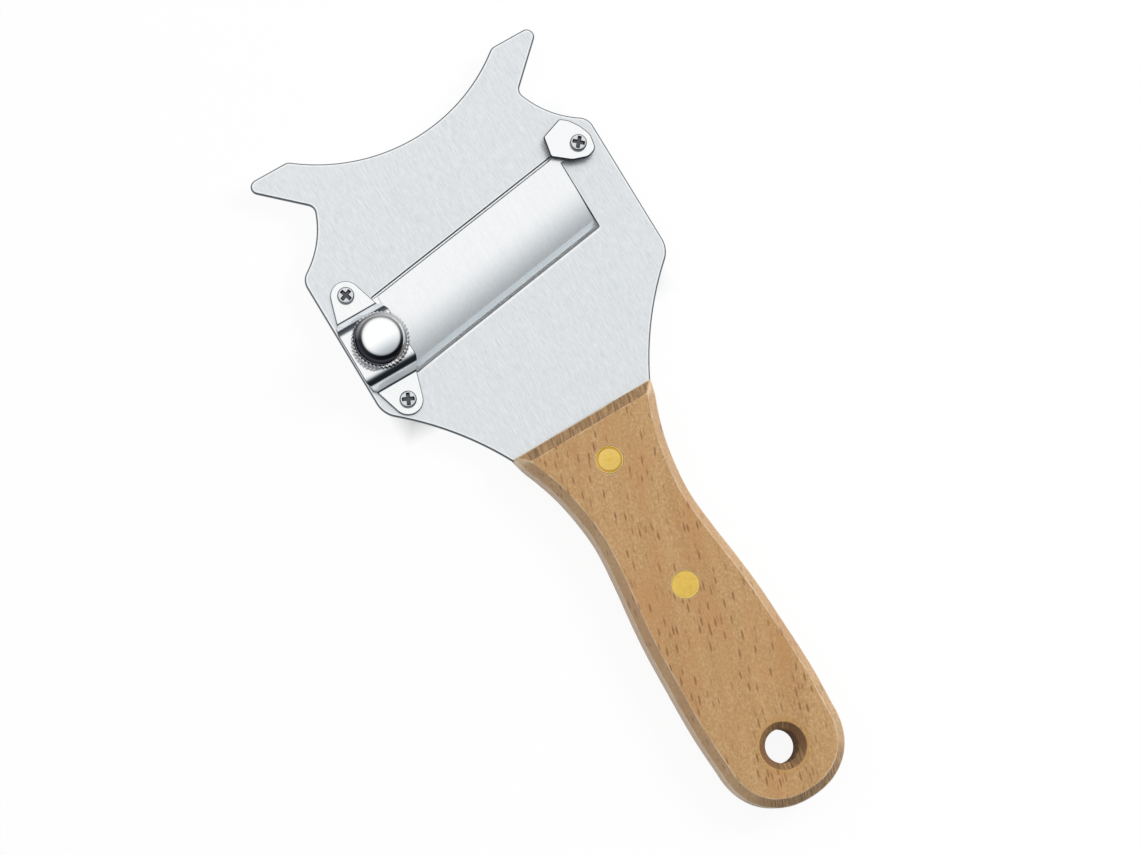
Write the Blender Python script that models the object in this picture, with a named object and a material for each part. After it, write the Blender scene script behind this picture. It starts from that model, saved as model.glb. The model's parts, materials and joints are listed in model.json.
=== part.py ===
"""A hand-held truffle slicer: a forked steel plate with a slanted window, a curved blade in it, a bridge
with a knob that lifts the blade's free end, and a beech handle riveted on the plate's tang.

Metres, +Z up out of the face with the knob, +Y towards the fork, +X across. Sizes are measured from the
middle of the plate where it meets the handle. The finished part stands on the handle's back face, with
its origin under the middle of its outline.
"""

import math

import bmesh
import bpy
import numpy as np

# Clearances and helpers shared by all pieces
SEAT_GAP = 0.0002
HOLE_GAP = 0.0002
OVERRUN = 0.002
ARC_STEPS = 6
ROUND_STEPS = 32

# Plate: outline
PLATE_THICKNESS = 0.0015
PLATE_HALF_WIDTH = 0.04725
PLATE_EDGE_RADIUS = 0.00045
HORN_TOP = 0.1051
FORK_HALF_WIDTH = 0.0336
FORK_DEPTH = 0.01175
HORN_INNER_RADIUS = 0.003
HORN_POINT_X = 0.0499
HORN_TIP_RADIUS = 0.0022
NOTCH_X = 0.0337
NOTCH_Y = 0.0902
NOTCH_CORNER_RADIUS = 0.0025
NOTCH_ARC_RADIUS = 0.0279
SHOULDER_Y = 0.0738
SHOULDER_RADIUS = 0.0045
LOWER_CORNER_Y = 0.0295
LOWER_CORNER_RADIUS = 0.0075
LOWER_ARC_RADIUS = 0.0941
JUNCTION_HALF_WIDTH = 0.0229

# Plate: tang inside the handle
TANG_HALF_WIDTH = 0.012
TANG_LENGTH = 0.066
TANG_END_RADIUS = 0.004

# Plate: slanted window
WINDOW_SLANT = math.radians(8.4)
WINDOW_FROM_SIDE = 0.01385
WINDOW_FRONT_Y = 0.04045
WINDOW_WIDTH = 0.02355
WINDOW_CORNER_RADIUS = 0.0005
WINDOW_RIM_DEPTH = 0.0006
WINDOW_RIM_FRONT = 0.0009
WINDOW_RIM_REAR = 0.0007
WINDOW_RIM_SIDE = 0.0002
WINDOW_BACK_RADIUS = 0.0003

# Blade: a sheet that curves down through the window to its ground edge
BLADE_THICKNESS = 0.0008
BLADE_RIGHT_GAP = 0.0005
BLADE_LEFT_GAP = 0.0018
BLADE_REAR_GAP = 0.00075
BLADE_EDGE_GAP = 0.0003
BLADE_CURVE_WIDTH = 0.0115
BLADE_CURVE_ANGLE = math.radians(22.0)
BLADE_GRIND_WIDTH = 0.0018
BLADE_CURVE_STEPS = 10
BLADE_TAB_HALF_WIDTH = 0.0061
BLADE_TAB_REACH = 0.0079
BLADE_TAB_SLOT = 0.001
BLADE_TAB_NECK = 0.0004
BLADE_TAB_RADIUS = 0.002
BLADE_EAR_INSET = 0.0006
BLADE_EAR_OVERLAP = 0.0012

# Clamp that holds the blade's fixed end, and the round spacer under the blade there
CLAMP_FROM_SIDE = 0.00735
CLAMP_BEFORE_CORNER = 0.00107
CLAMP_THICKNESS = 0.0018
CLAMP_LENGTH = 0.013
CLAMP_EDGE_RADIUS = 0.0003
CLAMP_CORNER_RADIUS = 0.0009
SPACER_THICKNESS = 0.0006
SPACER_RADIUS = 0.0036
# Outline of the clamp from its screw, in shares of its length
CLAMP_OUTLINE_SHARES = (
    (-0.677, 0.035),
    (-0.300, -0.262),
    (0.046, -0.375),
    (0.280, -0.300),
    (0.345, 0.046),
    (0.238, 0.318),
    (0.077, 0.555),
    (-0.080, 0.672),
    (-0.588, 0.500),
)
CLAMP_CORNER_SHARES = (1.2, 5.0, 3.5, 2.5, 4.0, 5.0, 2.5, 1.0, 0.8)

# Bridge bracket over the blade's free end
BRACKET_FROM_SIDE = 0.00805
BRACKET_SHEET = 0.001
BRACKET_RISE = 0.0042
BRACKET_SCREW_SPACING = 0.034
BRACKET_EAR_RADIUS = 0.0043
BRACKET_FOOT_SPACING = 0.021
BRACKET_FOOT_HALF_WIDTH = 0.0065
BRACKET_WALL_RUN = 0.00275
BRACKET_BRIDGE_HALF_WIDTH = 0.008
BRACKET_BEND_RADIUS = 0.0009
BRACKET_SHOULDER_RADIUS = 0.0034
BRACKET_WALL_FOOT_HALF_WIDTH = 0.0071
BRACKET_EAR_STEP = 0.0004

# Screws: pan heads with a cross recess
SCREW_RADIUS = 0.00125
SCREW_HEAD_RADIUS = 0.0024
SCREW_HEAD_HEIGHT = 0.0013
SCREW_HEAD_EDGE = 0.0004
RECESS_WIDTH = 0.0008
RECESS_LENGTH = 0.0029
RECESS_DEPTH = 0.0008

# Knob, washer, threaded insert, stud and spring
KNOB_INWARD = 0.0011
KNOB_FORWARD = 0.0004
KNOB_RADIUS = 0.0081
KNURL_HEIGHT = 0.0036
KNURL_DEPTH = 0.00035
KNURL_TEETH = 44
KNURL_EDGE = 0.0004
DOME_BASE_RADIUS = 0.0072
DOME_SHOULDER_HEIGHT = 0.0009
DOME_HEIGHT = 0.0042
DOME_CROWN_RADIUS = 0.014
DOME_CORNER_RADIUS = 0.0033
WASHER_RADIUS = 0.0062
WASHER_THICKNESS = 0.0005
INSERT_RADIUS = 0.0033
INSERT_HEIGHT = 0.005
STUD_RADIUS = 0.002
STUD_REACH = 0.0041
STUD_TENON_RADIUS = 0.0014
STUD_SHOULDER_RADIUS = 0.0029
STUD_SHOULDER_HEIGHT = 0.0005
STUD_FLARE = 0.0006
STUD_FLARE_HEIGHT = 0.0004
STUD_HOLE_GAP = 0.0003
SPRING_WIRE_RADIUS = 0.00022
SPRING_LOW_RADIUS = 0.0049
SPRING_HIGH_RADIUS = 0.0031
SPRING_TURNS = 2.5
SPRING_POINTS_PER_TURN = 10

# Handle
HANDLE_LENGTH = 0.1227
HANDLE_THICKNESS = 0.0125
HANDLE_CHAMFER = 0.0025
HANDLE_FRONT_CHAMFER = 0.0033
HANDLE_HALF_WIDTH = 0.01905
HANDLE_FRONT_HALF_WIDTH = 0.0225
HANDLE_EDGE_RADIUS = 0.0007
HANDLE_END_POWER = 2.2
HANDLE_SIDE_STEPS = 4
HANDLE_END_STEPS = 12
# Half width along the handle: share of the length, share of the largest half width
HANDLE_STATION_SHARES = (
    (0.033, 1.125),
    (0.065, 1.045),
    (0.130, 0.913),
    (0.187, 0.842),
    (0.261, 0.795),
    (0.359, 0.837),
    (0.456, 0.913),
    (0.522, 0.953),
    (0.620, 0.982),
    (0.766, 1.000),
    (0.848, 0.974),
)
HANG_HOLE_Y = -0.1064
HANG_HOLE_RADIUS = 0.00475
HANG_SINK_DEPTH = 0.0019

# Rivets: a head with a barrel from the back, a head with a pin from the front
RIVET_FRONT_Y = -0.0138
RIVET_REAR_Y = -0.0544
RIVET_HEAD_RADIUS = 0.004
RIVET_HEAD_HEIGHT = 0.0018
RIVET_BARREL_RADIUS = 0.0025
RIVET_PIN_RADIUS = 0.0015
RIVET_PIN_END_GAP = 0.001
RIVET_EDGE = 0.0003

# Places worked out from the sizes above
WINDOW_HALF_LENGTH = PLATE_HALF_WIDTH - WINDOW_FROM_SIDE
WINDOW_SLOPE = math.tan(WINDOW_SLANT)
WINDOW_SPAN = WINDOW_WIDTH / math.cos(WINDOW_SLANT)
CLAMP_X = PLATE_HALF_WIDTH - CLAMP_FROM_SIDE
CLAMP_Y = WINDOW_FRONT_Y + WINDOW_HALF_LENGTH * WINDOW_SLOPE + WINDOW_SPAN - CLAMP_BEFORE_CORNER
BRACKET_X = BRACKET_FROM_SIDE - PLATE_HALF_WIDTH
BRACKET_Y = WINDOW_FRONT_Y + BRACKET_X * WINDOW_SLOPE + WINDOW_SPAN / 2
KNOB_X = BRACKET_X + KNOB_INWARD
KNOB_Y = BRACKET_Y + KNOB_FORWARD

# Levels worked out from the sizes above, from the plate's middle plane
PLATE_TOP = PLATE_THICKNESS / 2
BLADE_BOTTOM = PLATE_TOP + SEAT_GAP + SPACER_THICKNESS + SEAT_GAP
BLADE_TOP = BLADE_BOTTOM + BLADE_THICKNESS
CLAMP_BOTTOM = BLADE_TOP + SEAT_GAP
CLAMP_TOP = CLAMP_BOTTOM + CLAMP_THICKNESS
BRACKET_BOTTOM = PLATE_TOP + SEAT_GAP
BRIDGE_BOTTOM = BRACKET_BOTTOM + BRACKET_RISE
BRIDGE_TOP = BRIDGE_BOTTOM + BRACKET_SHEET
WASHER_BOTTOM = BRIDGE_TOP + SEAT_GAP
KNOB_BOTTOM = WASHER_BOTTOM + WASHER_THICKNESS + SEAT_GAP
HANDLE_TOP = HANDLE_THICKNESS / 2

# Colours as seen, with roughness and metallic value
FINISHES = {
    "brushed steel": ((0.74, 0.77, 0.79), 0.34, 1.0),
    "blade steel": ((0.80, 0.82, 0.84), 0.26, 1.0),
    "bright steel": ((0.86, 0.87, 0.88), 0.18, 1.0),
    "screw steel": ((0.55, 0.57, 0.60), 0.25, 1.0),
    "chrome": ((0.90, 0.90, 0.91), 0.05, 1.0),
    "spring steel": ((0.50, 0.51, 0.53), 0.30, 1.0),
    "brass": ((0.86, 0.62, 0.21), 0.32, 1.0),
    "beech": ((0.53, 0.32, 0.15), 0.60, 0.0),
}


def clear_scene():
    for old in list(bpy.data.objects):
        bpy.data.objects.remove(old)


def finish(name):
    """The named material, made once."""
    known = bpy.data.materials.get(name)
    if known:
        return known
    colour, roughness, metallic = FINISHES[name]
    material = bpy.data.materials.new(name)
    material.use_nodes = True
    shader = material.node_tree.nodes["Principled BSDF"]
    shader.inputs["Base Color"].default_value = (*colour, 1.0)
    shader.inputs["Roughness"].default_value = roughness
    shader.inputs["Metallic"].default_value = metallic
    material.diffuse_color = (*colour, 1.0)
    return material


# Outlines: arrays of points in the plate's plane


def line(start, end):
    return np.array((start, end), float)


def arc_between(start, end, radius, steps):
    """Points on a circle of this radius from start to end, bulging to the left of the way."""
    start = np.array(start, float)
    end = np.array(end, float)
    half = (end - start) / 2
    reach = np.linalg.norm(half)
    left = np.array((-half[1], half[0])) / reach
    centre = start + half - left * math.sqrt(radius**2 - reach**2)
    first = math.atan2(*(start - centre)[::-1])
    swing = 2 * math.asin(reach / radius)
    angles = first - np.linspace(0, swing, steps + 1)
    return centre + radius * np.stack((np.cos(angles), np.sin(angles)), axis=1)


def trimmed(run, cut_start, cut_end):
    """The run with its ends cut back by these lengths along it."""
    pieces = np.linalg.norm(np.diff(run, axis=0), axis=1)
    along = np.concatenate(((0,), np.cumsum(pieces)))
    low = cut_start
    high = along[-1] - cut_end
    inside = run[(along > low) & (along < high)]
    ends = [[np.interp(at, along, run[:, axis]) for axis in (0, 1)] for at in (low, high)]
    return np.vstack((ends[0], inside, ends[1]))


def joined(runs, radii, steps=ARC_STEPS):
    """One closed outline of runs that meet end to end, each meeting rounded to its radius."""
    count = len(runs)
    cuts = []
    for index, radius in enumerate(radii):
        before = runs[index]
        after = runs[(index + 1) % count]
        back = before[-2] - before[-1]
        ahead = after[1] - after[0]
        cosine = back @ ahead / np.linalg.norm(back) / np.linalg.norm(ahead)
        angle = math.acos(max(-1.0, min(1.0, cosine)))
        cuts.append(radius / math.tan(angle / 2) if radius else 0)
    points = []
    for index, run in enumerate(runs):
        kept = trimmed(run, cuts[index - 1], cuts[index])
        points.extend(kept[:-1])
        if not radii[index]:
            continue
        # A cubic with handles along both sides stands for the fillet's arc.
        following = trimmed(runs[(index + 1) % count], cuts[index], 0)
        start = kept[-1]
        end = following[0]
        corner = run[-1]
        turn = math.pi - 2 * math.atan2(radii[index], cuts[index])
        hold = 4 / 3 * math.tan(turn / 4) * radii[index] / cuts[index]
        for part in np.linspace(0, 1, steps, endpoint=False):
            handles = (start, start + hold * (corner - start), end + hold * (corner - end), end)
            weights = ((1 - part) ** 3, 3 * part * (1 - part) ** 2, 3 * part**2 * (1 - part), part**3)
            points.append(sum(w * h for w, h in zip(weights, handles)))
    return np.array(points)


def polygon(corners, radii):
    """A closed outline with straight sides and rounded corners."""
    corners = [np.array(corner, float) for corner in corners]
    runs = [line(corners[i - 1], corners[i]) for i in range(len(corners))]
    return joined(runs, radii)


def grown(outline, distance):
    """The outline moved outwards by a distance, or inwards by a negative one, with mitred corners."""
    ahead = np.roll(outline, -1, axis=0) - outline
    ahead /= np.linalg.norm(ahead, axis=1)[:, None]
    behind = np.roll(ahead, 1, axis=0)
    area = np.cross(outline, np.roll(outline, -1, axis=0)).sum()
    side = 1 if area > 0 else -1
    normal = side * np.stack((ahead[:, 1], -ahead[:, 0]), axis=1)
    before = side * np.stack((behind[:, 1], -behind[:, 0]), axis=1)
    middle = normal + before
    middle /= (middle * normal).sum(axis=1)[:, None]
    return outline + distance * middle


def mirrored(run):
    """The run reflected across the axis and walked backwards."""
    return run[::-1] * (-1, 1)


# Solids


def solid(name, mesh, material, origin, parent, sharp=math.radians(35)):
    """An object from a bmesh drawn in the plate's frame, with its origin at the point given."""
    bmesh.ops.translate(mesh, verts=mesh.verts, vec=[-value for value in origin])
    bmesh.ops.recalc_face_normals(mesh, faces=mesh.faces)
    data = bpy.data.meshes.new(name)
    mesh.to_mesh(data)
    mesh.free()
    data.shade_smooth()
    data.set_sharp_from_angle(angle=sharp)
    if material:
        data.materials.append(finish(material))
    made = bpy.data.objects.new(name, data)
    made.location = origin
    made.parent = parent
    bpy.context.collection.objects.link(made)
    return made


def stacked(layers):
    """A closed solid through layers (outline, height) with equal numbers of points."""
    mesh = bmesh.new()
    rings = [[mesh.verts.new((x, y, height)) for x, y in outline] for outline, height in layers]
    for low, high in zip(rings, rings[1:]):
        for i in range(len(low)):
            mesh.faces.new((low[i - 1], low[i], high[i], high[i - 1]))
    mesh.faces.new(rings[0])
    mesh.faces.new(rings[-1])
    return mesh


def prism(outline, low, high):
    return stacked(((outline, low), (outline, high)))


def eased_plate(outline, low, high, radius):
    """A flat piece with its upper and lower edges rounded, in two facets each."""
    half = radius * (1 - math.cos(math.pi / 4))
    return stacked(
        (
            (grown(outline, -radius), low),
            (grown(outline, -half), low + half),
            (outline, low + radius),
            (outline, high - radius),
            (grown(outline, -half), high - half),
            (grown(outline, -radius), high),
        )
    )


def turned(profile, x, y, count=ROUND_STEPS, ripple=None):
    """A solid turned about a vertical axis at x, y. The profile's points are (radius, height); it is a
    closed ring, or starts and ends on the axis. A ripple gives each ring its teeth, by index."""
    mesh = bmesh.new()
    angles = np.linspace(0, 2 * math.pi, count, endpoint=False)
    rings = []
    for index, (radius, height) in enumerate(profile):
        if not radius:
            rings.append([mesh.verts.new((x, y, height))])
            continue
        reach = radius - (ripple[index] * (np.arange(count) % 2) if ripple else 0)
        across = x + reach * np.cos(angles)
        along = y + reach * np.sin(angles)
        rings.append([mesh.verts.new((a, b, height)) for a, b in zip(across, along)])
    pairs = list(zip(rings, rings[1:]))
    if len(rings[0]) > 1:
        pairs.append((rings[-1], rings[0]))
    for low, high in pairs:
        for i in range(count):
            corners = [low[i % len(low)], low[(i + 1) % len(low)]]
            corners += [high[(i + 1) % len(high)], high[i % len(high)]]
            mesh.faces.new(list(dict.fromkeys(corners)))
    return mesh


def rod(radius, low, high):
    return ((0, low), (radius, low), (radius, high), (0, high))


def change(target, tool, operation):
    """Cuts the tool from the target, joins it or keeps what both share. It isn't part of the model."""
    tool.hide_render = True
    tool.display_type = "WIRE"
    step = target.modifiers.new(tool.name, "BOOLEAN")
    step.operation = operation
    step.object = tool


def drill(target, name, profile, x, y, parent):
    """Cuts a turned hole."""
    tool = solid(name, turned(profile, x, y), None, (x, y, 0), parent)
    change(target, tool, "DIFFERENCE")


# Plate


def plate_outline():
    fork_radius = (FORK_HALF_WIDTH**2 + FORK_DEPTH**2) / (2 * FORK_DEPTH)
    fork = arc_between(
        (FORK_HALF_WIDTH, HORN_TOP), (-FORK_HALF_WIDTH, HORN_TOP), fork_radius, 5 * ARC_STEPS
    )
    shoulder = (PLATE_HALF_WIDTH, SHOULDER_Y)
    corner = (PLATE_HALF_WIDTH, LOWER_CORNER_Y)
    notch = arc_between(shoulder, (NOTCH_X, NOTCH_Y), NOTCH_ARC_RADIUS, 2 * ARC_STEPS)
    flank = arc_between((JUNCTION_HALF_WIDTH, SEAT_GAP), corner, LOWER_ARC_RADIUS, 2 * ARC_STEPS)
    right = [
        line((TANG_HALF_WIDTH, -TANG_LENGTH), (TANG_HALF_WIDTH, SEAT_GAP)),
        line((TANG_HALF_WIDTH, SEAT_GAP), (JUNCTION_HALF_WIDTH, SEAT_GAP)),
        flank,
        line(corner, shoulder),
        notch,
        line((NOTCH_X, NOTCH_Y), (HORN_POINT_X, HORN_TOP)),
        line((HORN_POINT_X, HORN_TOP), (FORK_HALF_WIDTH, HORN_TOP)),
    ]
    left = [mirrored(run) for run in right[::-1]]
    tang_end = line((-TANG_HALF_WIDTH, -TANG_LENGTH), (TANG_HALF_WIDTH, -TANG_LENGTH))
    radii = [
        0,
        0,
        LOWER_CORNER_RADIUS,
        SHOULDER_RADIUS,
        NOTCH_CORNER_RADIUS,
        HORN_TIP_RADIUS,
        HORN_INNER_RADIUS,
    ]
    radii = radii + radii[::-1] + [TANG_END_RADIUS, TANG_END_RADIUS]
    return joined(right + [fork] + left + [tang_end], radii)


def window_point(x, across):
    """The place at x, this far behind the window's front edge, measured square to it."""
    return (x, WINDOW_FRONT_Y + x * WINDOW_SLOPE + across / math.cos(WINDOW_SLANT))


def window_outline(side=0, front=0, rear=0):
    """The window's outline with its sides, front and rear moved outwards by these lengths."""
    reach = WINDOW_HALF_LENGTH + side
    corners = [
        window_point(-reach, -front),
        window_point(reach, -front),
        window_point(reach, WINDOW_WIDTH + rear),
        window_point(-reach, WINDOW_WIDTH + rear),
    ]
    return polygon(corners, [WINDOW_CORNER_RADIUS] * 4)


def window_rim(flare):
    return window_outline(WINDOW_RIM_SIDE * flare, WINDOW_RIM_FRONT * flare, WINDOW_RIM_REAR * flare)


def window_tool(parent):
    """A cutter that flares at both faces, so that it leaves a rounded rim round the window."""
    outline = window_outline()
    layers = [(grown(outline, WINDOW_BACK_RADIUS), -PLATE_TOP - OVERRUN)]
    for turn in np.linspace(math.pi / 2, 0, 3):
        rise = WINDOW_BACK_RADIUS * (1 - math.sin(turn))
        layers.append((grown(outline, WINDOW_BACK_RADIUS * (1 - math.cos(turn))), rise - PLATE_TOP))
    for turn in np.linspace(0, math.pi / 2, 5):
        drop = WINDOW_RIM_DEPTH * (1 - math.sin(turn))
        layers.append((window_rim(1 - math.cos(turn)), PLATE_TOP - drop))
    layers.append((window_rim(1), PLATE_TOP + OVERRUN))
    return solid("window_cutter", stacked(layers), None, (0, 0, 0), parent)


def screw_places():
    half = BRACKET_SCREW_SPACING / 2
    return {
        "bracket_screw_upper": (BRACKET_X, BRACKET_Y + half, BRACKET_BOTTOM + BRACKET_SHEET),
        "bracket_screw_lower": (BRACKET_X, BRACKET_Y - half, BRACKET_BOTTOM + BRACKET_SHEET),
        "clamp_screw": (CLAMP_X, CLAMP_Y, CLAMP_TOP),
    }


def make_plate(parent):
    body = eased_plate(plate_outline(), -PLATE_TOP, PLATE_TOP, PLATE_EDGE_RADIUS)
    plate = solid("slicer_plate", body, "brushed steel", (0, 0, 0), parent)
    change(plate, window_tool(parent), "DIFFERENCE")
    through = (-PLATE_TOP - OVERRUN, PLATE_TOP + OVERRUN)
    for name, (x, y, _) in screw_places().items():
        drill(plate, name + "_plate_hole", rod(SCREW_RADIUS + HOLE_GAP, *through), x, y, parent)
    for name, y in (("front", RIVET_FRONT_Y), ("rear", RIVET_REAR_Y)):
        hole = rod(RIVET_BARREL_RADIUS + HOLE_GAP, *through)
        drill(plate, name + "_rivet_tang_hole", hole, 0, y, parent)
    return plate


# Blade


def blade_profile():
    """Section across the blade as (place behind the window's front edge, height): the flat rear, the
    stretch that curves down, and the ground edge."""
    edge_x = BLADE_EDGE_GAP
    curve_end = edge_x + BLADE_GRIND_WIDTH
    curve_start = curve_end + BLADE_CURVE_WIDTH
    rear = WINDOW_WIDTH - BLADE_REAR_GAP
    radius = BLADE_CURVE_WIDTH / math.sin(BLADE_CURVE_ANGLE)
    turns = np.linspace(0, BLADE_CURVE_ANGLE, BLADE_CURVE_STEPS + 1)
    lower = radius - BLADE_THICKNESS
    top = [(curve_start - radius * math.sin(t), BLADE_TOP - radius * (1 - math.cos(t))) for t in turns]
    under = [(curve_start - lower * math.sin(t), BLADE_BOTTOM - lower * (1 - math.cos(t))) for t in turns]
    last_x, last_z = under[-1]
    edge = (edge_x, last_z - (last_x - edge_x) * math.tan(BLADE_CURVE_ANGLE))
    return [(rear, BLADE_TOP)] + top + [edge] + under[::-1] + [(rear, BLADE_BOTTOM)]


def clamp_outline():
    corners = [(CLAMP_X + a * CLAMP_LENGTH, CLAMP_Y + b * CLAMP_LENGTH) for a, b in CLAMP_OUTLINE_SHARES]
    return polygon(corners, [share * CLAMP_CORNER_RADIUS for share in CLAMP_CORNER_SHARES])


def blade_body():
    low = BLADE_LEFT_GAP - WINDOW_HALF_LENGTH
    high = WINDOW_HALF_LENGTH - BLADE_RIGHT_GAP
    mesh = bmesh.new()
    ends = []
    for x in (low, high):
        ends.append([mesh.verts.new((*window_point(x, across), z)) for across, z in blade_profile()])
    for i in range(len(ends[0])):
        mesh.faces.new((ends[0][i - 1], ends[0][i], ends[1][i], ends[1][i - 1]))
    mesh.faces.new(ends[0])
    mesh.faces.new(ends[1])
    return mesh


def make_blade(parent):
    pivot = (CLAMP_X, CLAMP_Y, (BLADE_BOTTOM + BLADE_TOP) / 2)
    blade = solid("slicing_blade", blade_body(), "blade steel", pivot, parent)
    curve_start = BLADE_EDGE_GAP + BLADE_GRIND_WIDTH + BLADE_CURVE_WIDTH
    end = BLADE_LEFT_GAP - WINDOW_HALF_LENGTH
    neck = window_point(end, curve_start)[1] + BLADE_TAB_NECK
    slot = end - BLADE_TAB_SLOT
    far = KNOB_X - BLADE_TAB_REACH
    low = KNOB_Y - BLADE_TAB_HALF_WIDTH
    high = KNOB_Y + BLADE_TAB_HALF_WIDTH
    inside = end + BLADE_EAR_OVERLAP
    tab_corners = [(far, low), (slot, low), (slot, neck), (inside, neck), (inside, high), (far, high)]
    rounding = [BLADE_TAB_RADIUS, BLADE_TAB_RADIUS, 0, 0, 0, BLADE_TAB_RADIUS]
    tab = prism(polygon(tab_corners, rounding), BLADE_BOTTOM, BLADE_TOP)
    change(blade, solid("blade_tab_addition", tab, None, pivot, parent), "UNION")
    ear = prism(grown(clamp_outline(), -BLADE_EAR_INSET), BLADE_BOTTOM, BLADE_TOP)
    change(blade, solid("blade_ear_addition", ear, None, pivot, parent), "UNION")
    root_x = WINDOW_HALF_LENGTH - BLADE_RIGHT_GAP
    root = window_point(root_x, WINDOW_WIDTH - BLADE_REAR_GAP)
    bridge_corners = [
        (root_x - BLADE_EAR_OVERLAP, root[1] - 2 * BLADE_EAR_OVERLAP),
        (CLAMP_X, CLAMP_Y - BLADE_EAR_OVERLAP),
        (CLAMP_X, CLAMP_Y + BLADE_EAR_OVERLAP),
        (root_x - BLADE_EAR_OVERLAP, root[1] - BLADE_EAR_OVERLAP / 4),
    ]
    bridge = prism(polygon(bridge_corners, [0] * 4), BLADE_BOTTOM, BLADE_TOP)
    change(blade, solid("blade_neck_addition", bridge, None, pivot, parent), "UNION")
    through = (BLADE_BOTTOM - OVERRUN, BLADE_TOP + OVERRUN)
    drill(blade, "blade_pivot_hole", rod(SCREW_RADIUS + STUD_HOLE_GAP, *through), CLAMP_X, CLAMP_Y, parent)
    radius = STUD_TENON_RADIUS + HOLE_GAP
    wide = radius + STUD_FLARE
    hole = (
        (0, BLADE_BOTTOM - OVERRUN),
        (wide, BLADE_BOTTOM - OVERRUN),
        (wide, BLADE_BOTTOM),
        (radius, BLADE_BOTTOM + STUD_FLARE_HEIGHT),
        (radius, BLADE_TOP + OVERRUN),
        (0, BLADE_TOP + OVERRUN),
    )
    drill(blade, "blade_stud_hole", hole, KNOB_X, KNOB_Y, parent)
    return blade


# Clamp, spacer and screws


def make_clamp(parent):
    body = eased_plate(clamp_outline(), CLAMP_BOTTOM, CLAMP_TOP, CLAMP_EDGE_RADIUS)
    clamp = solid("blade_clamp", body, "bright steel", (CLAMP_X, CLAMP_Y, CLAMP_BOTTOM), parent)
    low = PLATE_TOP + SEAT_GAP
    high = low + SPACER_THICKNESS
    bore = SCREW_RADIUS + HOLE_GAP
    hole = rod(bore, low - OVERRUN, CLAMP_TOP + OVERRUN)
    drill(clamp, "clamp_hole", hole, CLAMP_X, CLAMP_Y, parent)
    ring = ((bore, low), (SPACER_RADIUS, low), (SPACER_RADIUS, high), (bore, high))
    spacer = turned(ring, CLAMP_X, CLAMP_Y)
    solid("blade_spacer", spacer, "bright steel", (CLAMP_X, CLAMP_Y, low), parent)


def make_screw(name, x, y, seat, parent):
    low = seat + SEAT_GAP
    high = low + SCREW_HEAD_HEIGHT
    profile = (
        (0, SEAT_GAP - PLATE_TOP),
        (SCREW_RADIUS, SEAT_GAP - PLATE_TOP),
        (SCREW_RADIUS, low),
        (SCREW_HEAD_RADIUS, low),
        (SCREW_HEAD_RADIUS, high - 2 * SCREW_HEAD_EDGE),
        (SCREW_HEAD_RADIUS - SCREW_HEAD_EDGE / 2, high - SCREW_HEAD_EDGE / 2),
        (SCREW_HEAD_RADIUS - 2 * SCREW_HEAD_EDGE, high),
        (0, high),
    )
    screw = solid(name, turned(profile, x, y), "screw steel", (x, y, low), parent)
    along = RECESS_LENGTH / 2
    across = RECESS_WIDTH / 2
    floor = high - RECESS_DEPTH
    for index, (a, b) in enumerate(((along, across), (across, along))):
        corners = [(x - a, y - b), (x + a, y - b), (x + a, y + b), (x - a, y + b)]
        outline = polygon(corners, [0] * 4)
        inner = (outline - (x, y)) / 2 + (x, y)
        slot = stacked(((inner, floor), (outline, high), (outline, high + OVERRUN)))
        change(screw, solid(f"{name}_recess_{index}", slot, None, (x, y, low), parent), "DIFFERENCE")
    return screw


# Bracket


def bracket_outline():
    """The bracket from above: round ears that widen to their fold, and the wider bridge."""
    half = BRACKET_SCREW_SPACING / 2
    foot = BRACKET_FOOT_SPACING / 2
    radius = BRACKET_EAR_RADIUS
    lean = math.atan2(BRACKET_FOOT_HALF_WIDTH - radius, half - foot)
    turns = np.linspace(lean, math.pi - lean, 2 * ARC_STEPS + 1)
    end = np.stack((radius * np.cos(turns), half + radius * np.sin(turns)), axis=1)
    right = [
        (BRACKET_BRIDGE_HALF_WIDTH, foot - BRACKET_WALL_RUN),
        (BRACKET_WALL_FOOT_HALF_WIDTH, foot - BRACKET_EAR_STEP),
        (BRACKET_FOOT_HALF_WIDTH, foot),
    ]
    left = [(-x, y) for x, y in right[::-1]]
    upper = np.array(right + end.tolist() + left)
    return np.vstack((upper, -upper)) + (BRACKET_X, BRACKET_Y)


def bracket_section():
    """The folded sheet from the side: points (along, height) of its lower face, then its upper face."""
    foot = BRACKET_FOOT_SPACING / 2
    ridge = foot - BRACKET_WALL_RUN
    far = BRACKET_SCREW_SPACING / 2 + 2 * BRACKET_EAR_RADIUS
    low = BRACKET_BOTTOM
    high = BRIDGE_BOTTOM
    bend = BRACKET_BEND_RADIUS
    slope = math.atan2(BRACKET_RISE, BRACKET_WALL_RUN)
    shift = BRACKET_SHEET * math.tan(slope / 2)
    lower = [(-far, low), (-foot, low), (-ridge, high), (ridge, high), (foot, low), (far, low)]
    upper = [
        (far, low + BRACKET_SHEET),
        (foot + shift, low + BRACKET_SHEET),
        (ridge + shift, high + BRACKET_SHEET),
        (-ridge - shift, high + BRACKET_SHEET),
        (-foot - shift, low + BRACKET_SHEET),
        (-far, low + BRACKET_SHEET),
    ]
    wide = bend + BRACKET_SHEET
    shoulder = BRACKET_SHOULDER_RADIUS
    crown = shoulder + BRACKET_SHEET
    radii = [0, wide, shoulder, shoulder, wide, 0, 0, bend, crown, crown, bend, 0]
    return polygon(lower + upper, radii)


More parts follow.
